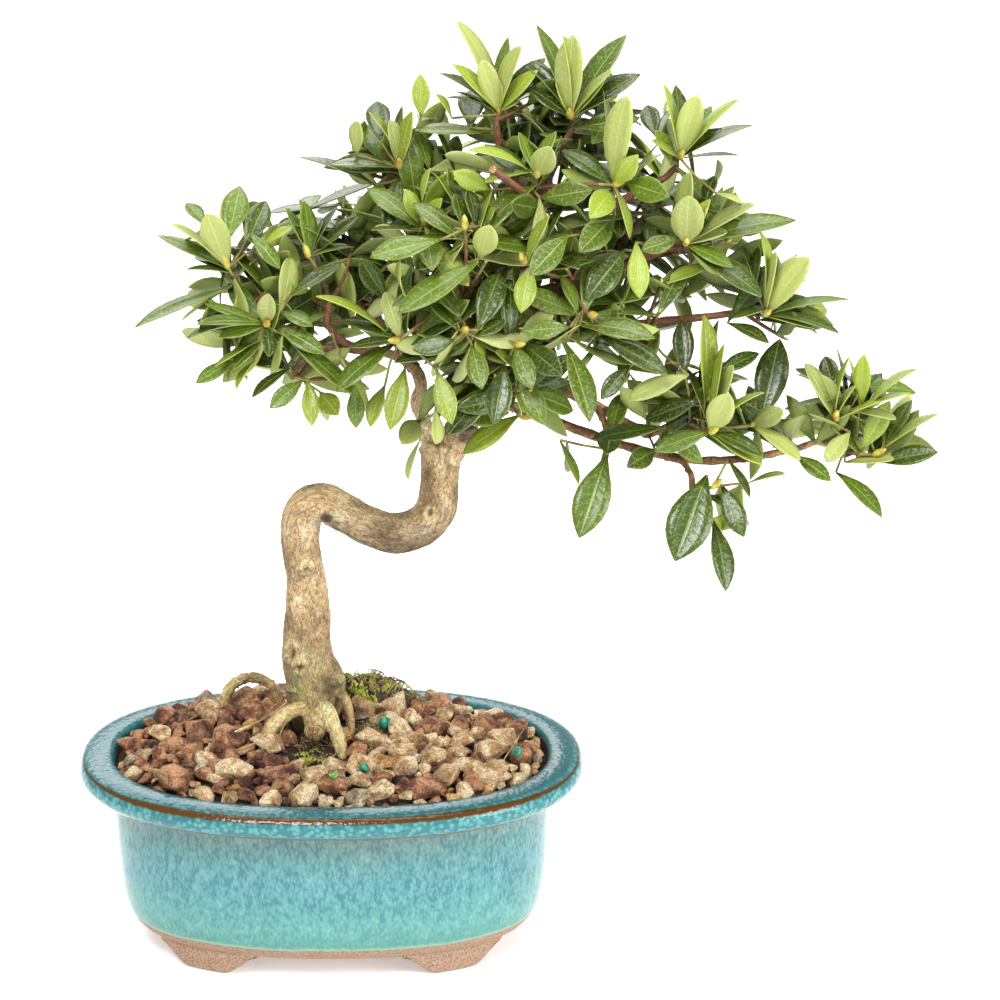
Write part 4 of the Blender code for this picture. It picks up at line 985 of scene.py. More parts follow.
# %% From rows to limbs
def smooth_rows(rows, steps):
    """Stations along a limb, (x, y, z, radius) vectors, on a smooth curve through its rows."""
    knots = [Vector(row) for row in rows]
    knots = [knots[0] * 2 - knots[1], *knots, knots[-1] * 2 - knots[-2]]
    stations = []
    for before, start, end, after in zip(knots, knots[1:], knots[2:], knots[3:]):
        for step in range(steps):
            t = step / steps
            stations.append(0.5 * (2 * start + (end - before) * t
                                   + (2 * before - 5 * start + 4 * end - after) * t ** 2
                                   + (3 * start - before - 3 * end + after) * t ** 3))
    stations.append(knots[-2])
    return stations


def fused(mesh, voxel):
    """One skin round overlapping tubes."""
    holder = bpy.data.objects.new("fusing", mesh)
    bpy.context.scene.collection.objects.link(holder)
    skin = holder.modifiers.new("skin", "REMESH")
    skin.mode = "VOXEL"
    skin.voxel_size = voxel * MM
    result = bpy.data.meshes.new_from_object(
        holder.evaluated_get(bpy.context.evaluated_depsgraph_get()))
    bpy.data.objects.remove(holder)
    return result


print("stations of the trunk", len(smooth_rows(TRUNK, 6)))

# %% [markdown]
# Bark runs with the wood: its cracks follow a limb round every bend, and patches stretch along
# it. Plain noise in space can't do that, so each point of a limb gets a place of its own, two
# numbers across the limb and one along it, and the bark is mixed from those. It could be had by
# unwrapping each limb too, but the seams would show at every fork.

# %% A place along the limb for every point
GRAIN = "limb_place"
GRAIN_STRETCH = 0.55  # scale along the limb: patches are nearly twice as long as wide
LIMB_APART = 60.0  # keeps the grain of one limb from repeating on the next


def limb_frames(stations):
    """Along a path: place, way, one side of it and the length so far, for every station."""
    spots = [s.xyz for s in stations]
    ways = [(b - a).normalized() for a, b in zip(spots, spots[1:])]
    ways.append(ways[-1])
    side, length, frames = ways[0].orthogonal().normalized(), 0, []
    for i, (spot, way) in enumerate(zip(spots, ways)):
        side = (side - way * side.dot(way)).normalized()
        frames.append((spot, way, side, length))
        if i + 1 < len(spots):
            length += (spots[i + 1] - spot).length
    return frames


def lay_grain(mesh, paths):
    """Stores on each vertex where it lies on its nearest limb, in mm."""
    frames = [(*f, i * LIMB_APART) for i, path in enumerate(paths) for f in limb_frames(path)]
    finder = KDTree(len(frames))
    for i, (spot, *_) in enumerate(frames):
        finder.insert(spot, i)
    finder.balance()
    values = []
    for vert in mesh.vertices:
        point = (vert.co - POT_MIDDLE) / MM
        spot, way, side, length, apart = frames[finder.find(point)[1]]
        off = point - spot
        values += [off.dot(side) + apart, off.dot(way.cross(side)), length + off.dot(way)]
    mesh.attributes.new(GRAIN, "FLOAT_VECTOR", "POINT").data.foreach_set("vector", values)


print("grain is kept as", GRAIN)

# %% [markdown]
# Azalea bark is thin. On old wood it is tan and grey with short fine cracks, darker in damp
# patches, and green with algae near the soil; on boughs a few years old it is redder. Painted
# shade darkens the undersides of limbs and, in patches, the level bend under the crown. The
# finish picks its tones from noise along the limb, from the damp and painted shade of a place
# and from its height above the soil.

# %% Bark finish
YOUNG_TONE = "#7a4d33"
ALGAE_TONE = "#84824a"
YOUNG_FROM, YOUNG_TO = 0.196, 0.214  # m above the table, from the first boughs up
ALGAE_FROM, ALGAE_TO = 0.112, 0.088  # m above the table, down to the roots


def bark_finish(name, tones, damp_and_shade_tone, algae):
    """Tones in patches of about 9 mm, cracked every millimetre, with painted shade underneath."""
    finish, tree, shader = new_finish(name, roughness=0.8)
    grain = add(tree, "Attribute", {"attribute_name": GRAIN}).outputs["Vector"]
    stretch = add(tree, "Mapping", {"Scale": (1, 1, GRAIN_STRETCH), "Vector": grain})
    patches = add(tree, "TexNoise",
                  {"Scale": 0.11, "Detail": 4, "Roughness": 0.62, "Vector": stretch})
    tone = add(tree, "ValToRGB",
               {"stops": tuple(zip((0.34, 0.45, 0.55, 0.66), tones)), "Fac": patches})
    place = add(tree, "TexCoord").outputs["Object"]
    axes = add(tree, "SeparateXYZ", {0: place})
    # the leader above the first boughs is only a few years old, and redder
    high_up = add(tree, "MapRange", {"From Min": YOUNG_FROM, "From Max": YOUNG_TO, "To Max": 0.9,
                                     "Value": axes.outputs["Z"]})
    redder = add(tree, "Mix", {"data_type": "RGBA", 0: high_up, 6: tone, 7: linear(YOUNG_TONE)})
    cracks = add(tree, "TexNoise", {"Scale": 1.25, "Detail": 3, "Roughness": 0.8,
                                    "Distortion": 0.8, "Vector": stretch})
    crack = add(tree, "MapRange", {"From Min": 0.38, "From Max": 0.6, "To Min": 0.38,
                                   "To Max": 1.3, "Value": cracks})
    # painted shade: the further a face of bark turns down, the darker it is made
    facing = add(tree, "SeparateXYZ", {0: add(tree, "NewGeometry").outputs["Normal"]})
    under = add(tree, "MapRange", {"From Min": -0.9, "From Max": 0.3, "To Min": 0.62,
                                   "To Max": 1, "Value": facing.outputs["Z"]})
    cracks_and_underside_shade = add(tree, "Math", {"operation": "MULTIPLY", 0: crack, 1: under})
    # dark patches that mix damp bark with painted shade, as at the level bend under the crown
    damp = add(tree, "Attribute", {"attribute_name": "damp"}).outputs["Fac"]
    soaked_and_shaded = add(tree, "Mix", {"data_type": "RGBA", 0: damp, 6: redder, 7: linear(damp_and_shade_tone)})
    # below 0 the same number marks the pale rims of scars
    healed = add(tree, "Math", {"operation": "MULTIPLY", "use_clamp": True, 0: damp, 1: -0.7})
    soaked_and_shaded = add(tree, "Mix", {"data_type": "RGBA", 0: healed, 6: soaked_and_shaded, 7: linear(tones[-1])})
    low_down = add(tree, "MapRange",
                   {"From Min": ALGAE_FROM, "From Max": ALGAE_TO, "Value": axes.outputs["Z"]})
    patchy = add(tree, "MapRange",
                 {"From Min": 0.42, "From Max": 0.6, "To Max": algae, "Value": patches})
    share = add(tree, "Math", {"operation": "MULTIPLY", 0: low_down, 1: patchy})
    green = add(tree, "Mix", {"data_type": "RGBA", 0: share, 6: soaked_and_shaded, 7: linear(ALGAE_TONE)})
    cracked = add(tree, "Mix",
                  {"data_type": "RGBA", "blend_type": "MULTIPLY", 0: 1, 6: green, 7: cracks_and_underside_shade})
    put(shader, {"Base Color": cracked})
    depth = add(tree, "Math", {"operation": "MULTIPLY_ADD", 0: cracks, 1: 0.6, 2: patches})
    relief = add(tree, "Bump", {"Strength": 0.7, "Distance": 0.0006, "Height": depth})
    put(shader, {"Normal": relief})
    return finish


print("bark has its algae up to", ALGAE_FROM, "m")

# %% Three barks
# old wood: pale tan, grey-brown in patches, dark brown where damp and in painted shade
old_bark = bark_finish("old_azalea_bark", ("#7c6545", "#a3875f", "#bda278", "#d6c199"),
                       "#40311f", 0.9)
# roots near the light: paler and yellower, as their skin is younger
root_bark = bark_finish("azalea_root_bark", ("#7e6844", "#ae9866", "#cab47f", "#e0ce9d"),
                        "#3d2d1e", 0.2)
# young wood: red-brown, greener where the skin is thin
young_bark = bark_finish("young_azalea_bark", ("#5a3a22", "#7f5a38", "#a37e50", "#bb9c62"),
                         "#3a2418", 0)
print("bark finishes", old_bark.name, root_bark.name, young_bark.name)

# %% [markdown]
# Two limbs were sawn off: one between the front roots, whose stub still shows its rings, and the
# leader's first tip. Sawn wood turns grey and cracks in the sun. The rings are a sine wave of
# the distance from the pith, so they run round the cut without any drawing.

# %% Sawn wood
# pale wood gone grey, and rough
STUB_CUT = (-5.2, -9.8, 78)
STUB_RADIUS = 3.5
RING_STEP = 0.7  # mm from ring to ring, coarser than real ones so that it shows
sawn, tree, shader = new_finish("weathered_sawn_wood", roughness=0.75)
coords = add(tree, "TexCoord").outputs["Object"]
from_pith = add(tree, "VectorMath", {"operation": "DISTANCE", 0: coords, 1: tuple(at(*STUB_CUT))})
turns = add(tree, "Math", {"operation": "MULTIPLY", 0: from_pith, 1: math.tau / RING_STEP / MM})
rings = add(tree, "Math", {"operation": "SINE", 0: turns})
checks = add(tree, "TexNoise", {"Scale": 700, "Detail": 4, "Roughness": 0.7, "Vector": coords})
ring_tone = add(tree, "Math", {"operation": "MULTIPLY_ADD", 0: rings, 1: 0.08, 2: checks})
ring_colour = add(tree, "ValToRGB",
                  {"stops": ((0.36, "#5d4528"), (0.5, "#93774b"), (0.64, "#b89a6a")),
                   "Fac": ring_tone})
put(shader, {"Base Color": ring_colour})
print("finish", sawn.name)

# %% [markdown]
# ## Trunk and roots
# The trunk swells over its roots, which carry it clear of the soil, and it isn't smooth: there
# are knobs where shoots were cut off, scars with a rolled pale rim round a dark middle, and
# dark patches, partly damp bark and partly painted shade, as under the crown at the bend.
# Knobs are fused in as balls. Scars and patches are given by where they show in the view, and
# a line of sight finds the place on the skin, which is quicker and surer than guessing three
# coordinates for each.

# %% Knobs, scars and damp
# the trunk's swollen foot takes the place of its lowest rows
FOOT = ((-5.6, 11.5, 69, 7.5), (-5.8, 9.6, 77, 8.6), (-5.8, 8.8, 83, 9.9),
        (-5.7, 8.3, 88.5, 10.1))
# knobs left by old cuts: place and radius, mm
KNOBS = ((-8.5, 1.4, 133, 3.6), (-10.5, 5, 146, 4.2), (38, 1.8, 160, 4),
         (41.5, 3.5, 177, 5.2), (37.5, 6, 172, 7.6), (45.4, 2.6, 181, 4.6),
         (-8, 12.5, 118, 3.6), (-11, 3, 99, 5), (50, 4.6, 190.5, 4.2),
         (0.6, 4, 91, 4.6), (-12, 4, 88, 4.4))
# scars: place in the view and radius of the rim, mm
SCARS = ((307, 570, 2.3), (292, 655, 2.9), (299, 667, 2), (430, 513, 1.6))
SCAR_TALL = 1.35  # how much taller than wide a scar is
SCAR_END = 3  # radii from its middle, past which it has no effect
# darker patches that mix damp bark with painted shade: place in the view, reach in mm, share
DAMP_AND_SHADE = ((358, 524, 11, 0.4), (385, 540, 11, 0.6), (420, 545, 10, 0.6),
        (395, 520, 8, 0.6), (438, 520, 7, 0.35), (330, 684, 5.5, 0.75), (336, 668, 3.2, 0.7),
        (327, 518, 2.6, 1), (335, 523, 2, 0.7), (313, 733, 4.6, 0.85), (470, 424, 4.2, 0.9),
        (466, 437, 3, 0.9), (302, 646, 4.6, 0.45), (290, 690, 5, 0.4), (300, 628, 5, 0.3),
        (316, 650, 5.5, 0.3), (306, 636, 3.4, 0.4), (296, 672, 6.5, 0.3), (340, 694, 3, 0.6))
LUMPS = ((9, 0.6), (3.2, 0.34), (1.1, 0.2))  # size and height of the bark's lumps, mm


def on_skin(skin, rows):
    """Rows that start with a place in the view, with the point of the skin that shows there."""
    found = []
    for across, down, *rest in rows:
        hit = skin.ray_cast(eye, sight(across, down))[0]
        if hit:
            found.append(((hit - POT_MIDDLE) / MM, *rest))
    return found


def weathered_and_shaded(spot, along, scars, patches):
    """How far the bark rises at a place, in mm, and how dark it is from damp and painted shade, or
    how pale below 0.
    """
    rise = sum(height * noise.noise(along / size) for size, height in LUMPS)
    damp = max([share * math.exp(-((spot - place).length / reach) ** 4)
                for place, reach, share in patches] + [0])
    for place, rim in scars:
        off = spot - place
        off.z /= SCAR_TALL
        out = off.length / rim
        if out < SCAR_END:
            rolled, sunk = math.exp(-((out - 1) / 0.4) ** 2), math.exp(-(out / 0.55) ** 2)
            rise += 0.75 * rolled - 0.9 * sunk
            damp = max(damp, 0.8 * sunk) - 0.8 * rolled
    return rise, damp


print("knobs", len(KNOBS), "scars", len(SCARS), "damp patches", len(DAMP_AND_SHADE))

# %% One skin over limbs
VOXEL = 0.55  # mm, fine enough to keep a limb of 1 mm whole
SMOOTHINGS = 3  # takes the voxels' steps off
BALL = ((-0.6, 0.5), (0, 1), (0.6, 0.5))  # height and radius along a knob, in its radii


def skin_over(name, rows_of_limbs, knobs, finish, replaces):
    """Fuses limbs and knobs to one skin, lays the grain on it and raises the bark's relief."""
    paths = [smooth_rows(rows, 6) for rows in rows_of_limbs]
    balls = [[Vector((x, y, z + r * up, r * share)) for up, share in BALL]
             for x, y, z, r in knobs]
    mesh = fused(tubes(name, paths + balls, 6), VOXEL)
    bark = bmesh.new()
    bark.from_mesh(mesh)
    for _ in range(SMOOTHINGS):
        bmesh.ops.smooth_vert(bark, verts=bark.verts[:], factor=0.5, use_axis_x=True,
                              use_axis_y=True, use_axis_z=True)
    skin = BVHTree.FromBMesh(bark)
    scars, patches = on_skin(skin, SCARS), on_skin(skin, DAMP_AND_SHADE)
    bark.to_mesh(mesh)
    bark.free()
    lay_grain(mesh, paths)
    weathering_and_shade = []
    for vert, grain in zip(mesh.vertices, mesh.attributes[GRAIN].data):
        along = Vector(grain.vector)
        along.z *= GRAIN_STRETCH
        weathering_and_shade.append(weathered_and_shaded((vert.co - POT_MIDDLE) / MM, along, scars, patches))
    normals = [normal.vector.copy() for normal in mesh.vertex_normals]
    for vert, normal, (rise, _) in zip(mesh.vertices, normals, weathering_and_shade):
        vert.co += normal * rise * MM
    mesh.attributes.new("damp", "FLOAT", "POINT").data.foreach_set(
        "value", [damp for _, damp in weathering_and_shade])
    return dress(name, mesh, [finish], replaces)


trunk_limbs = ((*FOOT, *TRUNK[3:]), BOUGHS["bough_leader"], BOUGHS["bough_left"])
skin_over("trunk_and_leader", trunk_limbs, KNOBS, old_bark, ["trunk", *FUSED_BOUGHS])

# %% Roots at its foot
# each runs from inside the trunk down into the soil; the stub is an old one that was sawn off
ROOTS = {
    "front_left": ((-7, 4, 81, 3.2), (-10.5, -0.5, 82.4, 2.7), (-15, -4.6, 81.8, 2.7),
                   (-19.4, -7.6, 78.6, 2.6), (-21.6, -9.6, 74, 2.4), (-22, -10.4, 68, 2.2)),
    "front_left_low": ((-14, 2, 82, 2), (-21, -1, 79.6, 0.9), (-27, -4, 77.6, 0.8),
                       (-33, -7, 75.4, 0.75), (-40, -9, 71, 0.6)),
    "front_right": ((-4.5, 4, 81, 3.2), (-2, -2, 83, 2.6), (0, -6.6, 81, 2.8),
                    (1.8, -10, 77.4, 2.6), (3.6, -13, 73, 2.3), (4.6, -15.6, 69.5, 1.6),
                    (5, -17, 66, 1.2)),
    "right": ((1, 3, 87, 2), (4.4, 0.8, 85.4, 1.6), (6, -0.6, 81.6, 1.5),
              (6.7, -1.2, 77.4, 1.3), (7, -1.6, 70, 1)),
    "back": ((-5, 12, 82, 5), (-8, 20, 77, 4), (-9, 24, TRUNK_FOOT, 3.2)),
    "left": ((-10, 9, 80, 3.6), (-17, 10, 76, 2.4), (-21, 10, 69, 1.8)),
    "stub": ((-6, 2, 79, 4.2), (STUB_CUT[0], STUB_CUT[1] + 2.5, STUB_CUT[2] + 0.6, 3.6),
             (*STUB_CUT, STUB_RADIUS)),
}
ROOT_KNOB = (-6, 3, 79, 4)  # joins them in the middle
skin_over("roots", ROOTS.values(), [ROOT_KNOB], root_bark, ["trunk"])

# %% Sawn faces
# the leader was cut back above its first shoots, and the cut left this short end
PRUNED = (spot_of(536, 204, -14), spot_of(512, 184, -25), spot_of(492, 169, -32))
PRUNED_RADII = (1.6, 1.25, 1.2)


def sawn_face(name, centre, way, radius):
    """A cut through wood: a disc sunk a little inside its rim, with a lip round it."""
    cut = bmesh.new()
    bmesh.ops.create_circle(cut, cap_ends=True, radius=radius * MM, segments=28)
    bmesh.ops.inset_region(cut, faces=cut.faces[:], thickness=0.15 * radius * MM,
                           depth=-0.07 * radius * MM, use_even_offset=True)
    bmesh.ops.poke(cut, faces=[f for f in cut.faces if len(f.verts) > 4])
    lip = bmesh.ops.extrude_edge_only(cut, edges=[e for e in cut.edges if e.is_boundary])
    bmesh.ops.translate(cut, verts=[g for g in lip["geom"] if isinstance(g, bmesh.types.BMVert)],
                        vec=(0, 0, -0.5 * radius * MM))
    turn = way.to_track_quat("Z", "Y").to_matrix().to_4x4()
    bmesh.ops.transform(cut, matrix=Matrix.Translation(at(*centre)) @ turn, verts=cut.verts[:])
    bmesh.ops.recalc_face_normals(cut, faces=cut.faces[:])
    new_piece(name, cut, [sawn])


stub_way = Vector((0.2, -1, -0.06)).normalized()
sawn_face("sawn_stub", Vector(STUB_CUT) + stub_way * 1.1, stub_way, STUB_RADIUS)
pruned_way = (PRUNED[2] - PRUNED[1]).normalized()
sawn_face("pruned_end", PRUNED[2] + pruned_way * 0.1, pruned_way, PRUNED_RADII[2] + 0.02)

# %% [markdown]
# ## Arched root and boughs
# An old root arches over the stones at the left, and some twenty boughs leave the leader. They
# are too thin to need a fused skin: a plain tube with a collar at its foot meets its parent well
# enough. Swellings where leaves once stood and a slight wander keep them from looking drawn.

# %% Limbs that wander
WANDER = 0.25  # mm, from side to side
NODE_EVERY = 5  # stations from one swelling to the next
NODE_SWELL = 0.16
COLLAR = (1.45, 1.28, 1.15, 1.08)  # how much thicker a bough is at its first stations


def grown_limb(rows, rng):
    """A limb's stations, with small swellings where leaves once stood."""
    stations = smooth_rows(rows, 8)
    for i, station in enumerate(stations[1:-1], 1):
        station.w *= 1 + (NODE_SWELL if i % NODE_EVERY == 0 else rng.uniform(-0.06, 0.06))
        station.x += rng.uniform(-WANDER, WANDER) * 0.5
        station.z += rng.uniform(-WANDER, WANDER) * 0.5
    return stations


rng = random.Random(21)
ARCH = ((-37.5, 20, 66, 2.1), (-37.2, 20.5, 74, 2.1), (-35.4, 21, 80.4, 1.9),
        (-31, 21, 84, 1.8), (-26.2, 20.8, 84.6, 1.8), (-21.4, 21.5, 82, 1.6),
        (-18.5, 22, 76, 1.4))
arch = [grown_limb(ARCH, rng)]
loop_mesh = tubes("arched_root", arch, 4)
lay_grain(loop_mesh, arch)
dress("arched_root", loop_mesh, [root_bark], ["root_loop"])

# %% Boughs from the leader
limbs = []
single_boughs = [name for name in BOUGHS if name not in FUSED_BOUGHS]
for name in single_boughs:
    stations = grown_limb(BOUGHS[name], rng)
    for k, swell in enumerate(COLLAR):
        stations[k].w *= swell
    limbs.append(stations)
limbs.append([Vector((*spot, radius)) for spot, radius in zip(PRUNED, PRUNED_RADII)])
bough_mesh = tubes("boughs", limbs, 3)
lay_grain(bough_mesh, limbs)
dress("boughs", bough_mesh, [young_bark], single_boughs)

# %% [markdown]
# ## How the crown grows
# Every mass of leaves hangs on the tip of one bough and keeps to its own space. The rule is a
# gardener's: a stem runs on from the bough, shoots fork from it towards places spread as far
# apart as they can be, and each shoot ends in a whorl round a bud. The same rule made the solid
# masses, and here it goes on to thinner twigs and far more leaves. The sprays that a viewer at
# the front meets first are placed one by one; the rule fills in the rest behind and around them.

# %% Spaces
SPACE_MARGIN = 0.02  # share of a space's size left free at its borders
LIMB_CLEAR = 0.5  # mm from a leaf to a limb
UP = Vector((0, 0, 1))
stations = [s for rows in (TRUNK, *BOUGHS.values()) for s in smooth_rows(rows, 8)]
limb_places = np.array([s.xyz for s in stations])
limb_radii = np.array([s.w for s in stations])


def space_share(point, name):
    """How far out a point lies in a mass's space: 0 in its middle, 1 at its border."""
    _, centre, half_sizes, _ = MASSES[name]
    return math.sqrt(sum(((p - c) / h) ** 2 for p, c, h in zip(point, centre, half_sizes)))


def in_own_space(point, name):
    own = space_share(point, name)
    return own < 1 and all(own < space_share(point, other) - SPACE_MARGIN
                           for other in MASSES if other != name)


def clear_of_limbs(point, radius=0):
    away = np.sqrt(((limb_places - np.array(point)) ** 2).sum(axis=1))
    return bool((away > limb_radii + radius + LIMB_CLEAR).all())


print("limb places to keep clear of", len(limb_radii))

# %% Stems and where they fork
STEM_STRAIGHT = 2.5  # mm that the stem leaves its bough straight on
STEM_SHARE = 0.6  # and runs this far from the bough's tip to the middle
FORK_SHARES = (0.1, 0.4, 0.7, 0.95)
STEM_RADIUS = 1.15
SHOOT_RADIUS = 0.75
GREEN_RADIUS = 0.55
twigs = []  # paths of 4-part stations, mm
green_stems = []
forks_of = {}
for name, (bough, centre, _, _) in MASSES.items():
    tip = smooth_rows(BOUGHS[bough], 3)[-2:]
    start = tip[1].xyz
    bend = start + (tip[1] - tip[0]).xyz.normalized() * STEM_STRAIGHT
    stem_end = start.lerp(Vector(centre), STEM_SHARE)
    forks_of[name] = [bend.lerp(stem_end, share) for share in FORK_SHARES]
    stem = [(*start, tip[1].w), (*bend, STEM_RADIUS), (*bend.lerp(stem_end, 0.5), STEM_RADIUS),
            (*stem_end, SHOOT_RADIUS)]
    twigs.append(smooth_rows(stem, 3))
print("stems", len(twigs))

# %% [markdown]
# ## One leaf
# An azalea leaf is a pointed oval, widest past its middle, folded a little along its midrib and
# arched from stalk to tip. A flat grid of a few faces is moved to that shape, which costs far
# less than a cut-out outline and keeps the midrib as an edge line. Solidify gives it the
# thickness of a real leaf and a second, paler, matt finish for its underside.

# %% Shape of a leaf
# shares of the length, and the share of the half-width at each; a young leaf is blunter
OLD_OUTLINE = ((0, 0.12, 0.25, 0.4, 0.55, 0.7, 0.82, 0.92, 1),
               (0.06, 0.26, 0.58, 0.88, 1, 0.93, 0.7, 0.38, 0.03))
NEW_OUTLINE = ((0, 0.14, 0.3, 0.46, 0.6, 0.74, 0.86, 0.94, 1),
               (0.08, 0.32, 0.7, 0.95, 1, 0.95, 0.76, 0.5, 0.08))
LEAF_STATIONS = 8
TIP_CROWDING = 1.35  # stations lie closer together towards the tip
LEAF_THICKNESS = 0.28
LEAF_KINDS = D, M, F, Y = "deep", "mid", "fresh", "young"
leaf_meshes = {}
leaf_places = {}
for kind in LEAF_KINDS:
    leaf_meshes[kind] = bmesh.new()
    leaf_places[kind] = leaf_meshes[kind].verts.layers.float_vector.new("leaf_place")


def leaf_point(leaf, across, share, outline=OLD_OUTLINE):
    """A place on a leaf, given from -1 to 1 across it and from 0 to 1 along it, in mm."""
    base, along, normal, length, width, arch, fold = leaf
    half = width / 2 * float(np.interp(share, *outline))
    rise = arch * length * 4 * share * (1 - share) + fold * abs(across) * half
    return base + along * length * share + along.cross(normal) * across * half + normal * rise


def add_leaf(kind, leaf, tint):
    """Adds a leaf to the mesh of its kind; its leaf_place keeps where on the leaf a point is."""
    bm, place_of = leaf_meshes[kind], leaf_places[kind]
    outline = NEW_OUTLINE if kind == Y else OLD_OUTLINE
    for vert in bmesh.ops.create_grid(bm, x_segments=4, y_segments=LEAF_STATIONS,
                                      size=1)["verts"]:
        across, share = vert.co.x, 1 - (1 - (vert.co.y + 1) / 2) ** TIP_CROWDING
        vert[place_of] = (across, share, tint)
        vert.co = at(*leaf_point(leaf, across, share, outline))


print("leaf kinds", LEAF_KINDS)

# %% [markdown]
# ## The sprays at the front
# Each spray has a bud, given by where it shows in the view and how far it stands behind the
# pot's middle. Its leaves are given by the place of the tip and the width that shows. A leaf
# seen narrow is turned on edge, and one seen short points at the viewer or away, so a single
# leaf length and width turn those two readings into a place, a direction and a roll.

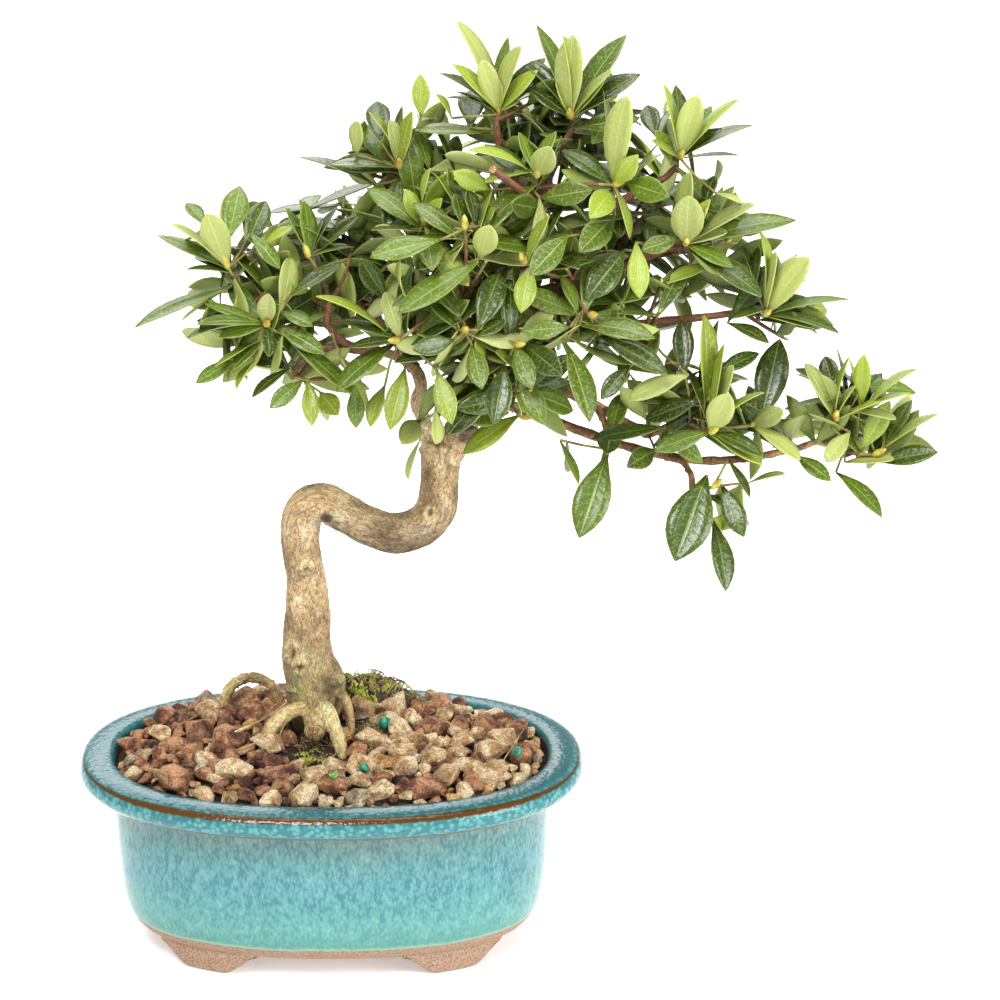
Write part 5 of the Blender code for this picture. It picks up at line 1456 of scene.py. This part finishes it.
# %% Readings of the sprays
# name: ((across, down, mm behind), leaves of (tip across, tip down, shown width, kind,
# and, where it isn't the bud, the place of its base))
SPRAYS = {
    "left_tip": ((228, 268, -8), (
        (207, 214, 28, Y), (240, 186, 27, M, 228, 240), (186, 203, 14, M, 205, 225),
        (158, 235, 12, M), (172, 224, 6, Y), (187, 269, 4, D, 240, 275),
        (266, 201, 24, D, 246, 245), (280, 269, 16, M, 250, 233), (291, 228, 8, F, 262, 245),
        (135, 327, 12, M, 235, 285))),
    "left_front": ((266, 325, -22), (
        (268, 294, 18, Y), (205, 303, 10, M), (197, 324, 10, M), (219, 337, 14, M),
        (187, 338, 7, D), (269, 357, 16, D), (325, 354, 18, M, 275, 325),
        (352, 394, 16, M, 285, 335), (313, 326, 14, M, 280, 312),
        (341, 264, 12, D, 290, 295), (215, 366, 5, F, 258, 340), (196, 383, 15, M, 235, 360),
        (232, 370, 12, M, 262, 342), (236, 389, 6, F, 255, 360), (252, 397, 10, D, 290, 368),
        (270, 408, 18, M, 303, 380), (312, 426, 18, F, 308, 380),
        (338, 415, 22, F, 320, 392), (356, 428, 18, M, 355, 385),
        (370, 427, 16, F, 385, 385), (390, 430, 24, F, 405, 368))),
    "left_dark": ((309, 257, -3), (
        (304, 201, 17, M), (286, 208, 10, M), (337, 207, 8, D), (323, 221, 7, D),
        (360, 215, 12, D, 320, 250), (355, 247, 6, M), (360, 258, 22, D, 386, 300))),
    "left_centre": ((400, 340, -28), (
        (385, 292, 17, Y), (316, 296, 7, F, 390, 335), (342, 320, 14, D),
        (350, 347, 10, D), (336, 391, 20, M, 395, 343), (394, 362, 10, D, 440, 355))),
    "upper_left": ((400, 168, 0), (
        (420, 74, 18, F, 421, 118), (390, 120, 14, Y), (412, 111, 14, F), (369, 112, 5, F),
        (377, 101, 25, D, 380, 140), (357, 121, 14, Y, 357, 155), (402, 106, 10, D),
        (300, 157, 8, D, 375, 185), (330, 165, 8, D), (415, 130, 14, M, 430, 170))),
    "crown_tip_left": ((499, 112, 3), (
        (458, 21, 15, Y), (508, 37, 14, M), (521, 46, 14, Y), (453, 64, 12, F),
        (482, 60, 20, Y), (440, 73, 9, D), (538, 70, 14, F), (545, 58, 20, D),
        (447, 97, 3, D), (499, 80, 12, F), (536, 81, 12, D), (519, 101, 8, F),
        (472, 90, 28, D, 470, 128), (436, 94, 6, F, 452, 118), (415, 130, 11, M, 492, 132))),
    "crown_tip_right": ((571, 117, -4), (
        (537, 25, 16, M), (573, 35, 27, Y), (563, 35, 10, F), (626, 35, 22, M),
        (612, 70, 7, F), (640, 74, 20, D), (530, 88, 14, D), (600, 82, 8, D),
        (556, 79, 10, F), (526, 66, 6, D))),
    "front_top": ((537, 176, -22), (
        (550, 147, 24, Y), (519, 132, 12, M), (556, 131, 12, M),
        (468, 150, 8, F, 530, 170), (592, 190, 24, M, 540, 198), (453, 172, 20, F, 490, 190))),
    "upper_middle": ((614, 185, -16), (
        (627, 96, 26, Y), (604, 91, 8, M), (561, 150, 17, D), (638, 155, 20, F),
        (590, 218, 26, F, 612, 190), (668, 196, 26, M, 625, 182), (630, 238, 8, F),
        (579, 252, 28, M, 615, 215), (586, 300, 30, D, 625, 250),
        (640, 299, 22, F, 636, 242))),
    "top_right": ((680, 158, -4), (
        (664, 84, 8, F), (676, 85, 20, D), (697, 95, 24, Y), (739, 99, 9, F),
        (723, 108, 8, D), (752, 125, 10, M), (722, 128, 12, D), (738, 155, 3, D),
        (647, 105, 20, D, 655, 135), (655, 130, 14, F, 672, 165), (652, 140, 8, F))),
    "right_upper": ((686, 244, -12), (
        (689, 196, 32, Y), (796, 220, 20, M), (754, 205, 12, Y), (727, 232, 10, Y),
        (710, 199, 14, F), (690, 172, 16, Y), (715, 175, 14, D, 706, 205),
        (762, 297, 22, D, 690, 250), (733, 267, 14, M), (641, 250, 18, M, 680, 238),
        (741, 203, 5, Y, 716, 193))),
    "right_middle": ((765, 315, -8), (
        (760, 231, 8, F, 765, 295), (809, 257, 24, Y), (776, 252, 10, Y),
        (797, 254, 10, D), (849, 299, 8, M), (839, 333, 9, D), (769, 343, 12, D, 728, 323),
        (741, 245, 12, D), (759, 246, 12, D, 755, 290), (733, 318, 8, M, 775, 306))),
    "centre_right": ((590, 315, -34), (
        (655, 338, 20, M, 580, 325), (561, 277, 12, M, 578, 315),
        (522, 331, 20, M, 570, 327), (590, 422, 24, M, 566, 343),
        (667, 374, 22, D, 600, 335), (601, 399, 18, D, 630, 365),
        (630, 399, 18, Y, 688, 375))),
    "right_pad": ((710, 432, -16), (
        (704, 315, 18, F, 705, 400), (718, 320, 14, D), (682, 320, 22, D, 685, 375),
        (683, 365, 10, M), (711, 349, 16, M), (733, 365, 15, Y), (724, 344, 10, F),
        (729, 394, 26, Y), (654, 451, 20, M), (763, 457, 15, D), (764, 392, 5, F),
        (645, 420, 20, D, 700, 400), (592, 439, 16, D, 665, 427),
        (607, 454, 24, D, 610, 435), (627, 467, 22, D, 655, 450))),
    "right_pad_back": ((752, 425, -6), (
        (780, 339, 34, D, 760, 425), (759, 353, 16, D, 715, 375), (783, 410, 20, Y),
        (791, 455, 12, M, 760, 432), (800, 460, 14, Y), (831, 481, 16, M, 795, 455))),
    "outer_pad": ((835, 420, -8), (
        (805, 364, 14, Y), (817, 375, 22, Y, 845, 420), (825, 356, 20, D, 835, 395),
        (849, 357, 5, F), (856, 385, 6, F), (864, 354, 18, F, 862, 405),
        (917, 369, 8, F, 865, 410), (911, 393, 6, F), (912, 400, 16, M, 885, 445),
        (896, 419, 8, Y, 850, 410), (826, 462, 18, Y, 850, 432))),
    "outer_tip": ((874, 455, -8), (
        (938, 414, 8, F, 878, 452), (938, 452, 20, D, 878, 462), (890, 401, 22, F, 862, 450),
        (894, 459, 10, Y, 845, 462), (882, 517, 16, M, 836, 472))),
    "hanging": ((713, 487, -14), (
        (675, 561, 46, D, 707, 475), (744, 537, 24, D, 722, 485),
        (726, 591, 22, D, 713, 520), (750, 497, 8, D, 728, 459), (785, 474, 5, Y, 748, 483))),
    "low_spray": ((605, 448, -18), (
        (579, 538, 37, M, 607, 455), (579, 484, 8, M, 560, 440))),
    "centre_low": ((515, 345, -32), (
        (532, 389, 22, M), (494, 424, 26, D, 505, 365), (544, 425, 24, M, 520, 375),
        (562, 375, 26, D, 525, 345))),
    "centre_left": ((465, 330, -36), (
        (430, 302, 12, M, 458, 330), (437, 290, 14, D, 460, 318),
        (505, 320, 14, D, 475, 337), (413, 350, 20, D, 455, 340),
        (482, 389, 22, M, 472, 345), (452, 424, 22, F, 437, 370),
        (436, 444, 12, Y, 435, 410), (500, 272, 28, D, 478, 330))),
    "centre_high": ((525, 262, -34), (
        (530, 275, 26, M, 568, 235), (521, 313, 22, F, 530, 265),
        (398, 313, 24, M, 478, 262), (370, 257, 22, M, 440, 240))),
    "front_left_high": ((465, 228, -30), (
        (413, 203, 18, M, 462, 240), (455, 193, 14, D, 462, 225),
        (468, 188, 14, D, 475, 225), (490, 226, 24, Y, 480, 258), (495, 207, 6, F, 487, 225))),
    "upper_left_low": ((425, 225, -18), (
        (367, 188, 20, M, 420, 228), (405, 189, 16, F, 420, 225), (442, 198, 12, F),
        (430, 168, 6, F, 422, 205), (371, 230, 6, D, 440, 235))),
    "beside_trunk_right": ((519, 415, -16), (
        (463, 454, 22, F),)),
    "beside_trunk_left": ((418, 425, -12), (
        (402, 444, 22, Y, 418, 420), (408, 479, 6, Y, 420, 440))),
}
print("sprays", len(SPRAYS), "leaves", sum(len(leaves) for _, leaves in SPRAYS.values()))

# %% One reading to one leaf
PIXEL = VIEW_DISTANCE / FOCAL / MM  # mm, at the trunk
SHORT_OF_WIDTH = 2.3  # a leaf is at least this many of its seen widths long
LONGEST_LEAF = 31.0
WIDEST_LEAF, NARROWEST_LEAF = 10, 6.0
BOX_LOW = (cad_box[0] - POT_MIDDLE) / MM
BOX_HIGH = (cad_box[1] - POT_MIDDLE) / MM
BORDER = 0.8
rng = random.Random(33)


def in_box(points):
    return all(low + BORDER < value < high - BORDER for point in points
               for value, low, high in zip(point, BOX_LOW, BOX_HIGH))


def placed_leaf(base, across, down, shown, kind, above):
    """A leaf from its base to a tip in the view, rolled until its width shows as it should."""
    ray = sight(across, down)
    eye_spot = (eye - POT_MIDDLE) / MM
    level = eye_spot + ray * ((base - eye_spot).dot(view_ahead) / ray.dot(view_ahead))
    flat = (level - base).length
    length = min(max(1.03 * flat, SHORT_OF_WIDTH * shown * PIXEL), max(LONGEST_LEAF, 1.03 * flat))
    lean = (level - base).dot(ray)
    span = math.sqrt(max(lean ** 2 - flat ** 2 + length ** 2, 0))
    first = 1 if above and kind in (D, M) else -1  # away from the eye, or towards it
    for shrink, way in ((1, first), (0.6, first), (1, -first), (0.6, -first), (0, 1)):
        tip = level + ray * (span * way * shrink - lean)
        along = (tip - base).normalized()
        facing = (-ray - along * -ray.dot(along)).normalized()
        width = max(min(0.36 * (tip - base).length, WIDEST_LEAF), shown * PIXEL, NARROWEST_LEAF)
        roll = math.acos(min(shown * PIXEL / width, 1))
        turns = [Matrix.Rotation(sign * roll, 3, along) @ facing for sign in (1, -1)]
        normal = max(turns, key=lambda n: n.z)
        leaf = (base, along, normal, (tip - base).length, width, rng.uniform(0.01, 0.07),
                rng.uniform(0.1, 0.3))
        if in_box(leaf_point(leaf, across_leaf, share)
                  for across_leaf in (-1, 0, 1) for share in (0.3, 0.6, 0.85, 1)):
            break
    return leaf


print("one pixel is", round(PIXEL, 2), "mm")


# %% Shoots
def bend_between(start, end, sag, steps=4):
    """A shoot's way between two places, bowed sideways by a share of its length."""
    bow = Vector([rng.uniform(-1, 1) for _ in range(3)]) * (end - start).length * sag
    return [start.lerp(end, t) + bow * 4 * t * (1 - t) for t in
            (i / steps for i in range(steps + 1))]


def add_shoot(start, end, thick=SHOOT_RADIUS, thin=GREEN_RADIUS):
    """A woody shoot whose last few millimetres are still green."""
    way = bend_between(start, end, 0.07)
    radii = [thick + (thin - thick) * i / (len(way) - 1) for i in range(len(way))]
    path = [Vector((*spot, radius)) for spot, radius in zip(way, radii)]
    twigs.append(path)
    green = way[-1] + (way[-2] - way[-1]) * min(7.0 / max((way[-2] - way[-1]).length, 1), 0.9)
    green_stems.append([Vector((*green, thin * 1.15)), Vector((*way[-1], thin * 1.1))])
    return (way[-1] - way[-2]).normalized()


print("woody paths so far", len(twigs))

# %% Place the sprays
buds = []  # (place, axis, size, mass)
bud_spots = []
for (across, down, depth), _ in SPRAYS.values():
    bud = spot_of(across, down, depth)
    home = min(MASSES, key=lambda mass: space_share(bud, mass))
    axis = add_shoot(min(forks_of[home], key=lambda fork: (fork - bud).length), bud)
    buds.append((bud, (axis + UP * 0.6 - view_ahead * 0.3).normalized(), 1, home))
    bud_spots.append(bud)
twig_spots = [s.xyz for path in twigs for s in path]

placed = []
side_spots = []  # where a placed leaf has a side twig of its own
for ((across, down, depth), leaves), (bud, _, _, home) in zip(SPRAYS.values(), buds):
    for tip_across, tip_down, shown, kind, *foot in leaves:
        base = bud
        if foot:
            base = spot_of(*foot, depth + 2)
            near = min(twig_spots, key=lambda s: (s - base).length)
            if (near - base).length > 2:
                green_stems.append([Vector((*spot, 0.8 * GREEN_RADIUS)) for spot in
                                    bend_between(near, base, 0.05, 2)])
                side_spots.append((base, (base - near).normalized(), home))
        leaf = placed_leaf(base, tip_across, tip_down, shown, kind, tip_down < down - 5)
        placed.append(leaf)
        add_leaf(kind, leaf, rng.random())
print("placed leaves", len(placed))

# %% [markdown]
# ## The rest of the crown
# Behind and around the placed sprays the rule takes over: shoots go to the places furthest
# from the buds there are, and the leaves of a whorl follow the golden angle, the lower ones
# spread flat and the upper ones still half closed. A leaf that would leave its mass's space,
# touch a limb, hide a placed spray or close one of the crown's gaps is left out.

# %% Where placed leaves show
def in_view(points):
    """Where points show in the view, and how far they are from the eye, in one array."""
    away = np.array(points) - np.array((eye - POT_MIDDLE) / MM)
    ahead = away @ np.array(view_ahead)
    return np.stack([FRAME_SIZE / 2 + FOCAL * (away @ np.array(view_right)) / ahead,
                     FRAME_SIZE / 2 - FOCAL * (away @ np.array(view_up)) / ahead, ahead], axis=1)


def spread_points(leaf):
    """Points all over a leaf, close enough together that no gap shows between them."""
    return [leaf_point(leaf, across, share) for across in (-0.8, 0, 0.8)
            for share in (0.1, 0.25, 0.4, 0.55, 0.7, 0.85, 1)]


front = in_view([point for leaf in placed for point in spread_points(leaf)])
print("points of the placed leaves", len(front))

# %% What the front hides
GAP_REACH = 7.0  # pixels that a leaf may show beyond the placed ones
GAP_ACROSS = 48.0  # pixels; a wider gap between placed leaves stays open
GAP_SIDE = 14.0  # pixels aside within which a leaf still closes a place in
DEPTH_SLACK = 1.0  # mm that a leaf has to lie behind the placed ones
# places in the view where the crown is closed by leaves further back: middle and half-sizes
CLOSED = ((527, 222, 36, 48), (690, 286, 44, 24), (745, 256, 26, 22), (560, 250, 40, 40),
          (440, 150, 40, 30), (610, 330, 50, 40))


def closed_in(across, down):
    """Whether placed leaves stand on all four sides of a place in the view."""
    rows = front[np.abs(front[:, 1] - down) < GAP_SIDE]
    columns = front[np.abs(front[:, 0] - across) < GAP_SIDE]
    return all(((gap > 0) & (gap < GAP_ACROSS)).any() for gap in
               (rows[:, 0] - across, across - rows[:, 0],
                columns[:, 1] - down, down - columns[:, 1]))


def behind_the_front(points, reach=GAP_REACH):
    """Whether points show only where placed leaves do or between them, and lie behind them."""
    for across, down, ahead in in_view(points):
        near = front[(np.abs(front[:, 0] - across) < reach)
                     & (np.abs(front[:, 1] - down) < reach)]
        if len(near) and ahead < near[:, 2].min() + DEPTH_SLACK:
            return False
        if not len(near) and not closed_in(across, down) and not any(
                ((across - x) / half_x) ** 2 + ((down - y) / half_y) ** 2 < 1
                for x, y, half_x, half_y in CLOSED):
            return False
    return True


print("a leaf may show", GAP_REACH, "pixels beyond the placed ones")

# %% One whorl
GOLDEN_ANGLE = math.radians(137.5)
WHORL_LEAVES = 8
LEAST_LEAVES = 3
OPEN_ANGLE = 110  # degrees from the bud to the lowest leaf of a whorl
CLOSING = 64  # degrees less for the topmost
CLOSING_CURVE = 1.7  # most of the closing happens near the top
OPENING_SPREAD = 9  # degrees
WHORL_STEP = 0.66  # mm from leaf to leaf down the shoot
LIFT = 0.18  # upwards in the way of a leaf, where its mass reaches up
FACE_UP = 0.35  # upwards in the way that it faces, so that it catches the light
ROLL = 0.35  # radians
LEAF_LENGTHS = (20, 27)
TOP_LEAVES, TOP_LENGTH = 3, 0.8  # the topmost leaves, and their length as a share
WIDTH_SHARE = 0.34
WIDTHS, ARCHES, FOLDS = (0.92, 1.1), (-0.02, 0.08), (0.1, 0.35)  # how much they vary
MID_SHARE = 0.45  # of the older leaves, the ones that aren't deep green yet
LOOSENESS = 1.15  # a leaf may reach this share of its space
# where on a leaf its room is tested: along the midrib, and at both margins
TEST_PLACES = ((0, 0.2), (0, 0.4), (0, 0.6), (0, 0.8), (0, 1), (0.9, 0.5), (-0.9, 0.5),
               (0.8, 0.8), (-0.8, 0.8))


def grow_whorl(name, bud, axis, count, lift, least=1):
    """Leaves round a bud by the golden angle; fewer than the least that find room grow none."""
    sideways = axis.orthogonal().normalized()
    start = rng.uniform(0, math.tau)
    found = []
    for k in range(count):
        turn = Matrix.Rotation(start + k * GOLDEN_ANGLE, 3, axis)
        open_angle = math.radians(OPEN_ANGLE - CLOSING * (k / max(count - 1, 1)) ** CLOSING_CURVE
                                  + rng.uniform(-OPENING_SPREAD, OPENING_SPREAD))
        along = (axis * math.cos(open_angle) + turn @ sideways * math.sin(open_angle)
                 + UP * LIFT * lift).normalized()
        length = rng.uniform(*LEAF_LENGTHS) * (1 if k < count - TOP_LEAVES else TOP_LENGTH)
        normal = axis + UP * FACE_UP
        normal = (normal - along * normal.dot(along)).normalized()
        normal = Matrix.Rotation(rng.uniform(-ROLL, ROLL), 3, along) @ normal
        base = bud - axis * WHORL_STEP * (count - 1 - k)
        leaf = (base, along, normal, length, length * WIDTH_SHARE * rng.uniform(*WIDTHS),
                rng.uniform(*ARCHES), rng.uniform(*FOLDS))
        tests = [leaf_point(leaf, *place) for place in TEST_PLACES]
        if not in_box(tests) or not behind_the_front(tests):
            continue
        if not all(space_share(p, name) < LOOSENESS and clear_of_limbs(p) for p in tests):
            continue
        kind = (Y if k >= count - 1 else F if k >= count - 2 else
                M if rng.random() < MID_SHARE else D)
        found.append((kind, leaf))
    if len(found) < least:
        return 0
    for kind, leaf in found:
        add_leaf(kind, leaf, rng.random())
    return len(found)


print("leaves tried in a whorl", WHORL_LEAVES)

# %% Fill in the placed sprays
ROUND_BUD, ON_TWIG = 10, 5  # leaves tried round a placed bud, and on a placed side twig
grown = 0
for bud, axis, _, home in list(buds):
    grown += grow_whorl(home, bud, axis, ROUND_BUD, 0)
for base, way, home in side_spots:
    grown += grow_whorl(home, base, way, ON_TWIG, 0)
print("leaves added to the placed sprays", grown)

# %% Shoots to the places furthest from the buds
SPOT_TRIES = 900
MOST_SHOOTS = 16
SHOOT_BORDER = 0.8  # shoots end within this share of their space
SHOOT_CLEAR = 2.0  # mm from a limb to a bud
SHOOT_REACH = 16  # pixels round a bud in which no placed leaf lies behind it
BUDS_APART = 9.0  # mm
RULE_BUD = 0.45  # size of their buds, as a share of the placed ones'
for name, (_, centre, half_sizes, lift) in MASSES.items():
    spots = []
    for _ in range(SPOT_TRIES):
        offset = Vector([rng.uniform(-1, 1) for _ in range(3)])
        if offset.length > 1:
            continue
        end = Vector([c + o * h * SHOOT_BORDER for c, o, h in zip(centre, offset, half_sizes)])
        if (in_own_space(end, name) and clear_of_limbs(end, SHOOT_CLEAR)
                and behind_the_front([end], SHOOT_REACH)):
            spots.append(end)
    for _ in range(MOST_SHOOTS):
        if not spots:
            break
        end = max(spots, key=lambda spot: min((spot - other).length for other in bud_spots))
        if min((end - other).length for other in bud_spots) < BUDS_APART:
            break
        spots.remove(end)
        root = min(forks_of[name], key=lambda fork: (fork - end).length)
        outward = (end - Vector(centre)).normalized()
        axis = ((end - root).normalized() + outward * 0.4 + UP * (0.35 + 0.5 * lift)).normalized()
        found = grow_whorl(name, end, axis, WHORL_LEAVES, lift, LEAST_LEAVES)
        bud_spots.append(end)
        if found:
            add_shoot(root, end)
            buds.append((end, axis, RULE_BUD, name))
            grown += found
print("leaves by rule", grown, "buds", len(buds))

# %% [markdown]
# ## Leaf, twig and bud finishes
# The upper side has a waxy skin, so it is green with a tight pale shine; the underside is paler
# and matt. A leaf darkens with age, so there are four greens, dealt out to whole leaves. The
# midrib is a pale line and the side veins are faint: both follow where a point lies on its leaf.

# %% Finish of a leaf
VEINS = 9  # to a side


def leaf_finish(name, body, rib, roughness):
    """Waxy upper skin with a pale midrib; the tint runs each leaf a little lighter or darker."""
    finish, tree, shader = new_finish(name, roughness=roughness)
    place = add(tree, "Attribute", {"attribute_name": "leaf_place"}).outputs["Vector"]
    axes = add(tree, "SeparateXYZ", {0: place})
    from_rib = add(tree, "Math", {"operation": "ABSOLUTE", 0: axes.outputs["X"]})
    tint = add(tree, "MapRange", {"To Min": 0.76, "To Max": 1.24, "Value": axes.outputs["Z"]})
    toned = add(tree, "Mix",
                {"data_type": "RGBA", "blend_type": "MULTIPLY", 0: 1, 6: linear(body), 7: tint})
    # side veins leave the midrib forwards
    vein_run = add(tree, "Math",
                   {"operation": "MULTIPLY_ADD", 0: from_rib, 1: -0.12, 2: axes.outputs["Y"]})
    wave = add(tree, "Math",
               {"operation": "SINE",
                0: add(tree, "Math", {"operation": "MULTIPLY", 0: vein_run, 1: math.tau * VEINS})})
    vein = add(tree, "MapRange",
               {"From Min": 0.75, "From Max": 1, "To Max": 0.16, "Value": wave})
    rib_share = add(tree, "MapRange",
                    {"From Min": 0.08, "From Max": 0.02, "To Max": 0.6, "Value": from_rib})
    margin = add(tree, "MapRange",
                 {"From Min": 0.86, "From Max": 1, "To Max": 0.45, "Value": from_rib})
    # dots of sun-bleached skin about half a millimetre wide
    coords = add(tree, "TexCoord").outputs["Object"]
    dots = add(tree, "TexNoise", {"Scale": 1300, "Detail": 3, "Vector": coords})
    dot = add(tree, "MapRange", {"From Min": 0.55, "From Max": 0.67, "To Max": 0.5, "Value": dots})
    ribs = add(tree, "Math", {"operation": "MAXIMUM", 0: vein, 1: rib_share})
    edges = add(tree, "Math", {"operation": "MAXIMUM", 0: margin, 1: dot})
    lines = add(tree, "Math", {"operation": "MAXIMUM", 0: ribs, 1: edges})
    lined = add(tree, "Mix", {"data_type": "RGBA", 0: lines, 6: toned, 7: linear(rib)})
    put(shader, {"Base Color": lined})
    # the skin puckers between its veins, every 2 mm or so, which breaks up its shine
    pucker = add(tree, "TexNoise", {"Scale": 480, "Detail": 2, "Vector": coords})
    uneven = add(tree, "Math", {"operation": "MULTIPLY_ADD", 0: pucker, 1: 1.2, 2: ribs})
    relief = add(tree, "Bump",
                 {"Strength": 0.4, "Distance": 0.0004, "invert": True, "Height": uneven})
    put(shader, {"Normal": relief})
    return finish


print("veins to a side", VEINS)

# %% Four kinds of leaves
# (upper side, its rib, roughness, underside)
UNDERSIDE_ROUGHNESS = 0.6
LEAF_GREENS = {
    "deep": ("#2e410a", "#8a9648", 0.28, "#6a7832"),
    "mid": ("#495f0e", "#9caa50", 0.33, "#7b873c"),
    "fresh": ("#7c8d26", "#b2bb66", 0.38, "#8d994a"),
    "young": ("#929b50", "#b4ba78", 0.5, "#9fa664"),
}
foliage_nodes = list(MASSES)
for kind, (body, rib, roughness, back) in LEAF_GREENS.items():
    upper = leaf_finish(kind + "_leaf_upper_side", body, rib, roughness)
    under = leaf_finish(kind + "_leaf_underside", back, rib, UNDERSIDE_ROUGHNESS)
    bm = leaf_meshes[kind]
    bmesh.ops.remove_doubles(bm, verts=bm.verts[:], dist=1e-6)
    piece = new_piece(kind + "_leaves", bm, [upper, under], foliage_nodes)
    blade = piece.modifiers.new("thickness", "SOLIDIFY")
    blade.thickness = LEAF_THICKNESS * MM
    blade.offset = -1
    blade.material_offset = 1

# %% [markdown]
# Twigs are as red-brown as young boughs, their last few millimetres are still green, and each
# ends in a bud: a pointed egg of golden scales that get greener to its tip. A bud is a ball
# drawn out to a point, which takes fewer faces than single scales nobody could tell apart.

# %% Twigs and green shoots
twig_mesh = tubes("twigs", twigs, 1)
lay_grain(twig_mesh, twigs)
dress("twigs", twig_mesh, [young_bark], foliage_nodes)
green_skin = mottled_finish("green_shoot_skin", 0.5, 300, 2,
                            ((0.35, "#5c4a26"), (0.55, "#7c7036"), (0.7, "#8f8a48")))
dress("green_shoots", tubes("green_shoots", green_stems, 1), [green_skin],
      foliage_nodes)

# %% Buds
BUD_LENGTH = 6.0
BUD_RADIUS = 1.3
BUD_TAPER = 0.55  # share of its width that a bud has lost at its tip
bud_mesh = bmesh.new()
for bud, axis, size, _ in buds:
    turn = axis.to_track_quat("Z", "Y").to_matrix()
    for vert in bmesh.ops.create_uvsphere(bud_mesh, u_segments=8, v_segments=6,
                                          radius=1)["verts"]:
        point = vert.co.copy()
        taper = 1 - BUD_TAPER * max(point.z, 0) ** 1.5
        shape = Vector((point.x * BUD_RADIUS * taper, point.y * BUD_RADIUS * taper,
                        (point.z + 0.7) * BUD_LENGTH / 2)) * size
        vert.co = at(*(bud + turn @ shape))
bud_scales = mottled_finish("bud_scales", 0.45, 420, 2,
                            ((0.38, "#a07a30"), (0.5, "#b2a23e"), (0.65, "#bcbc60")))
new_piece("buds", bud_mesh, [bud_scales], foliage_nodes)
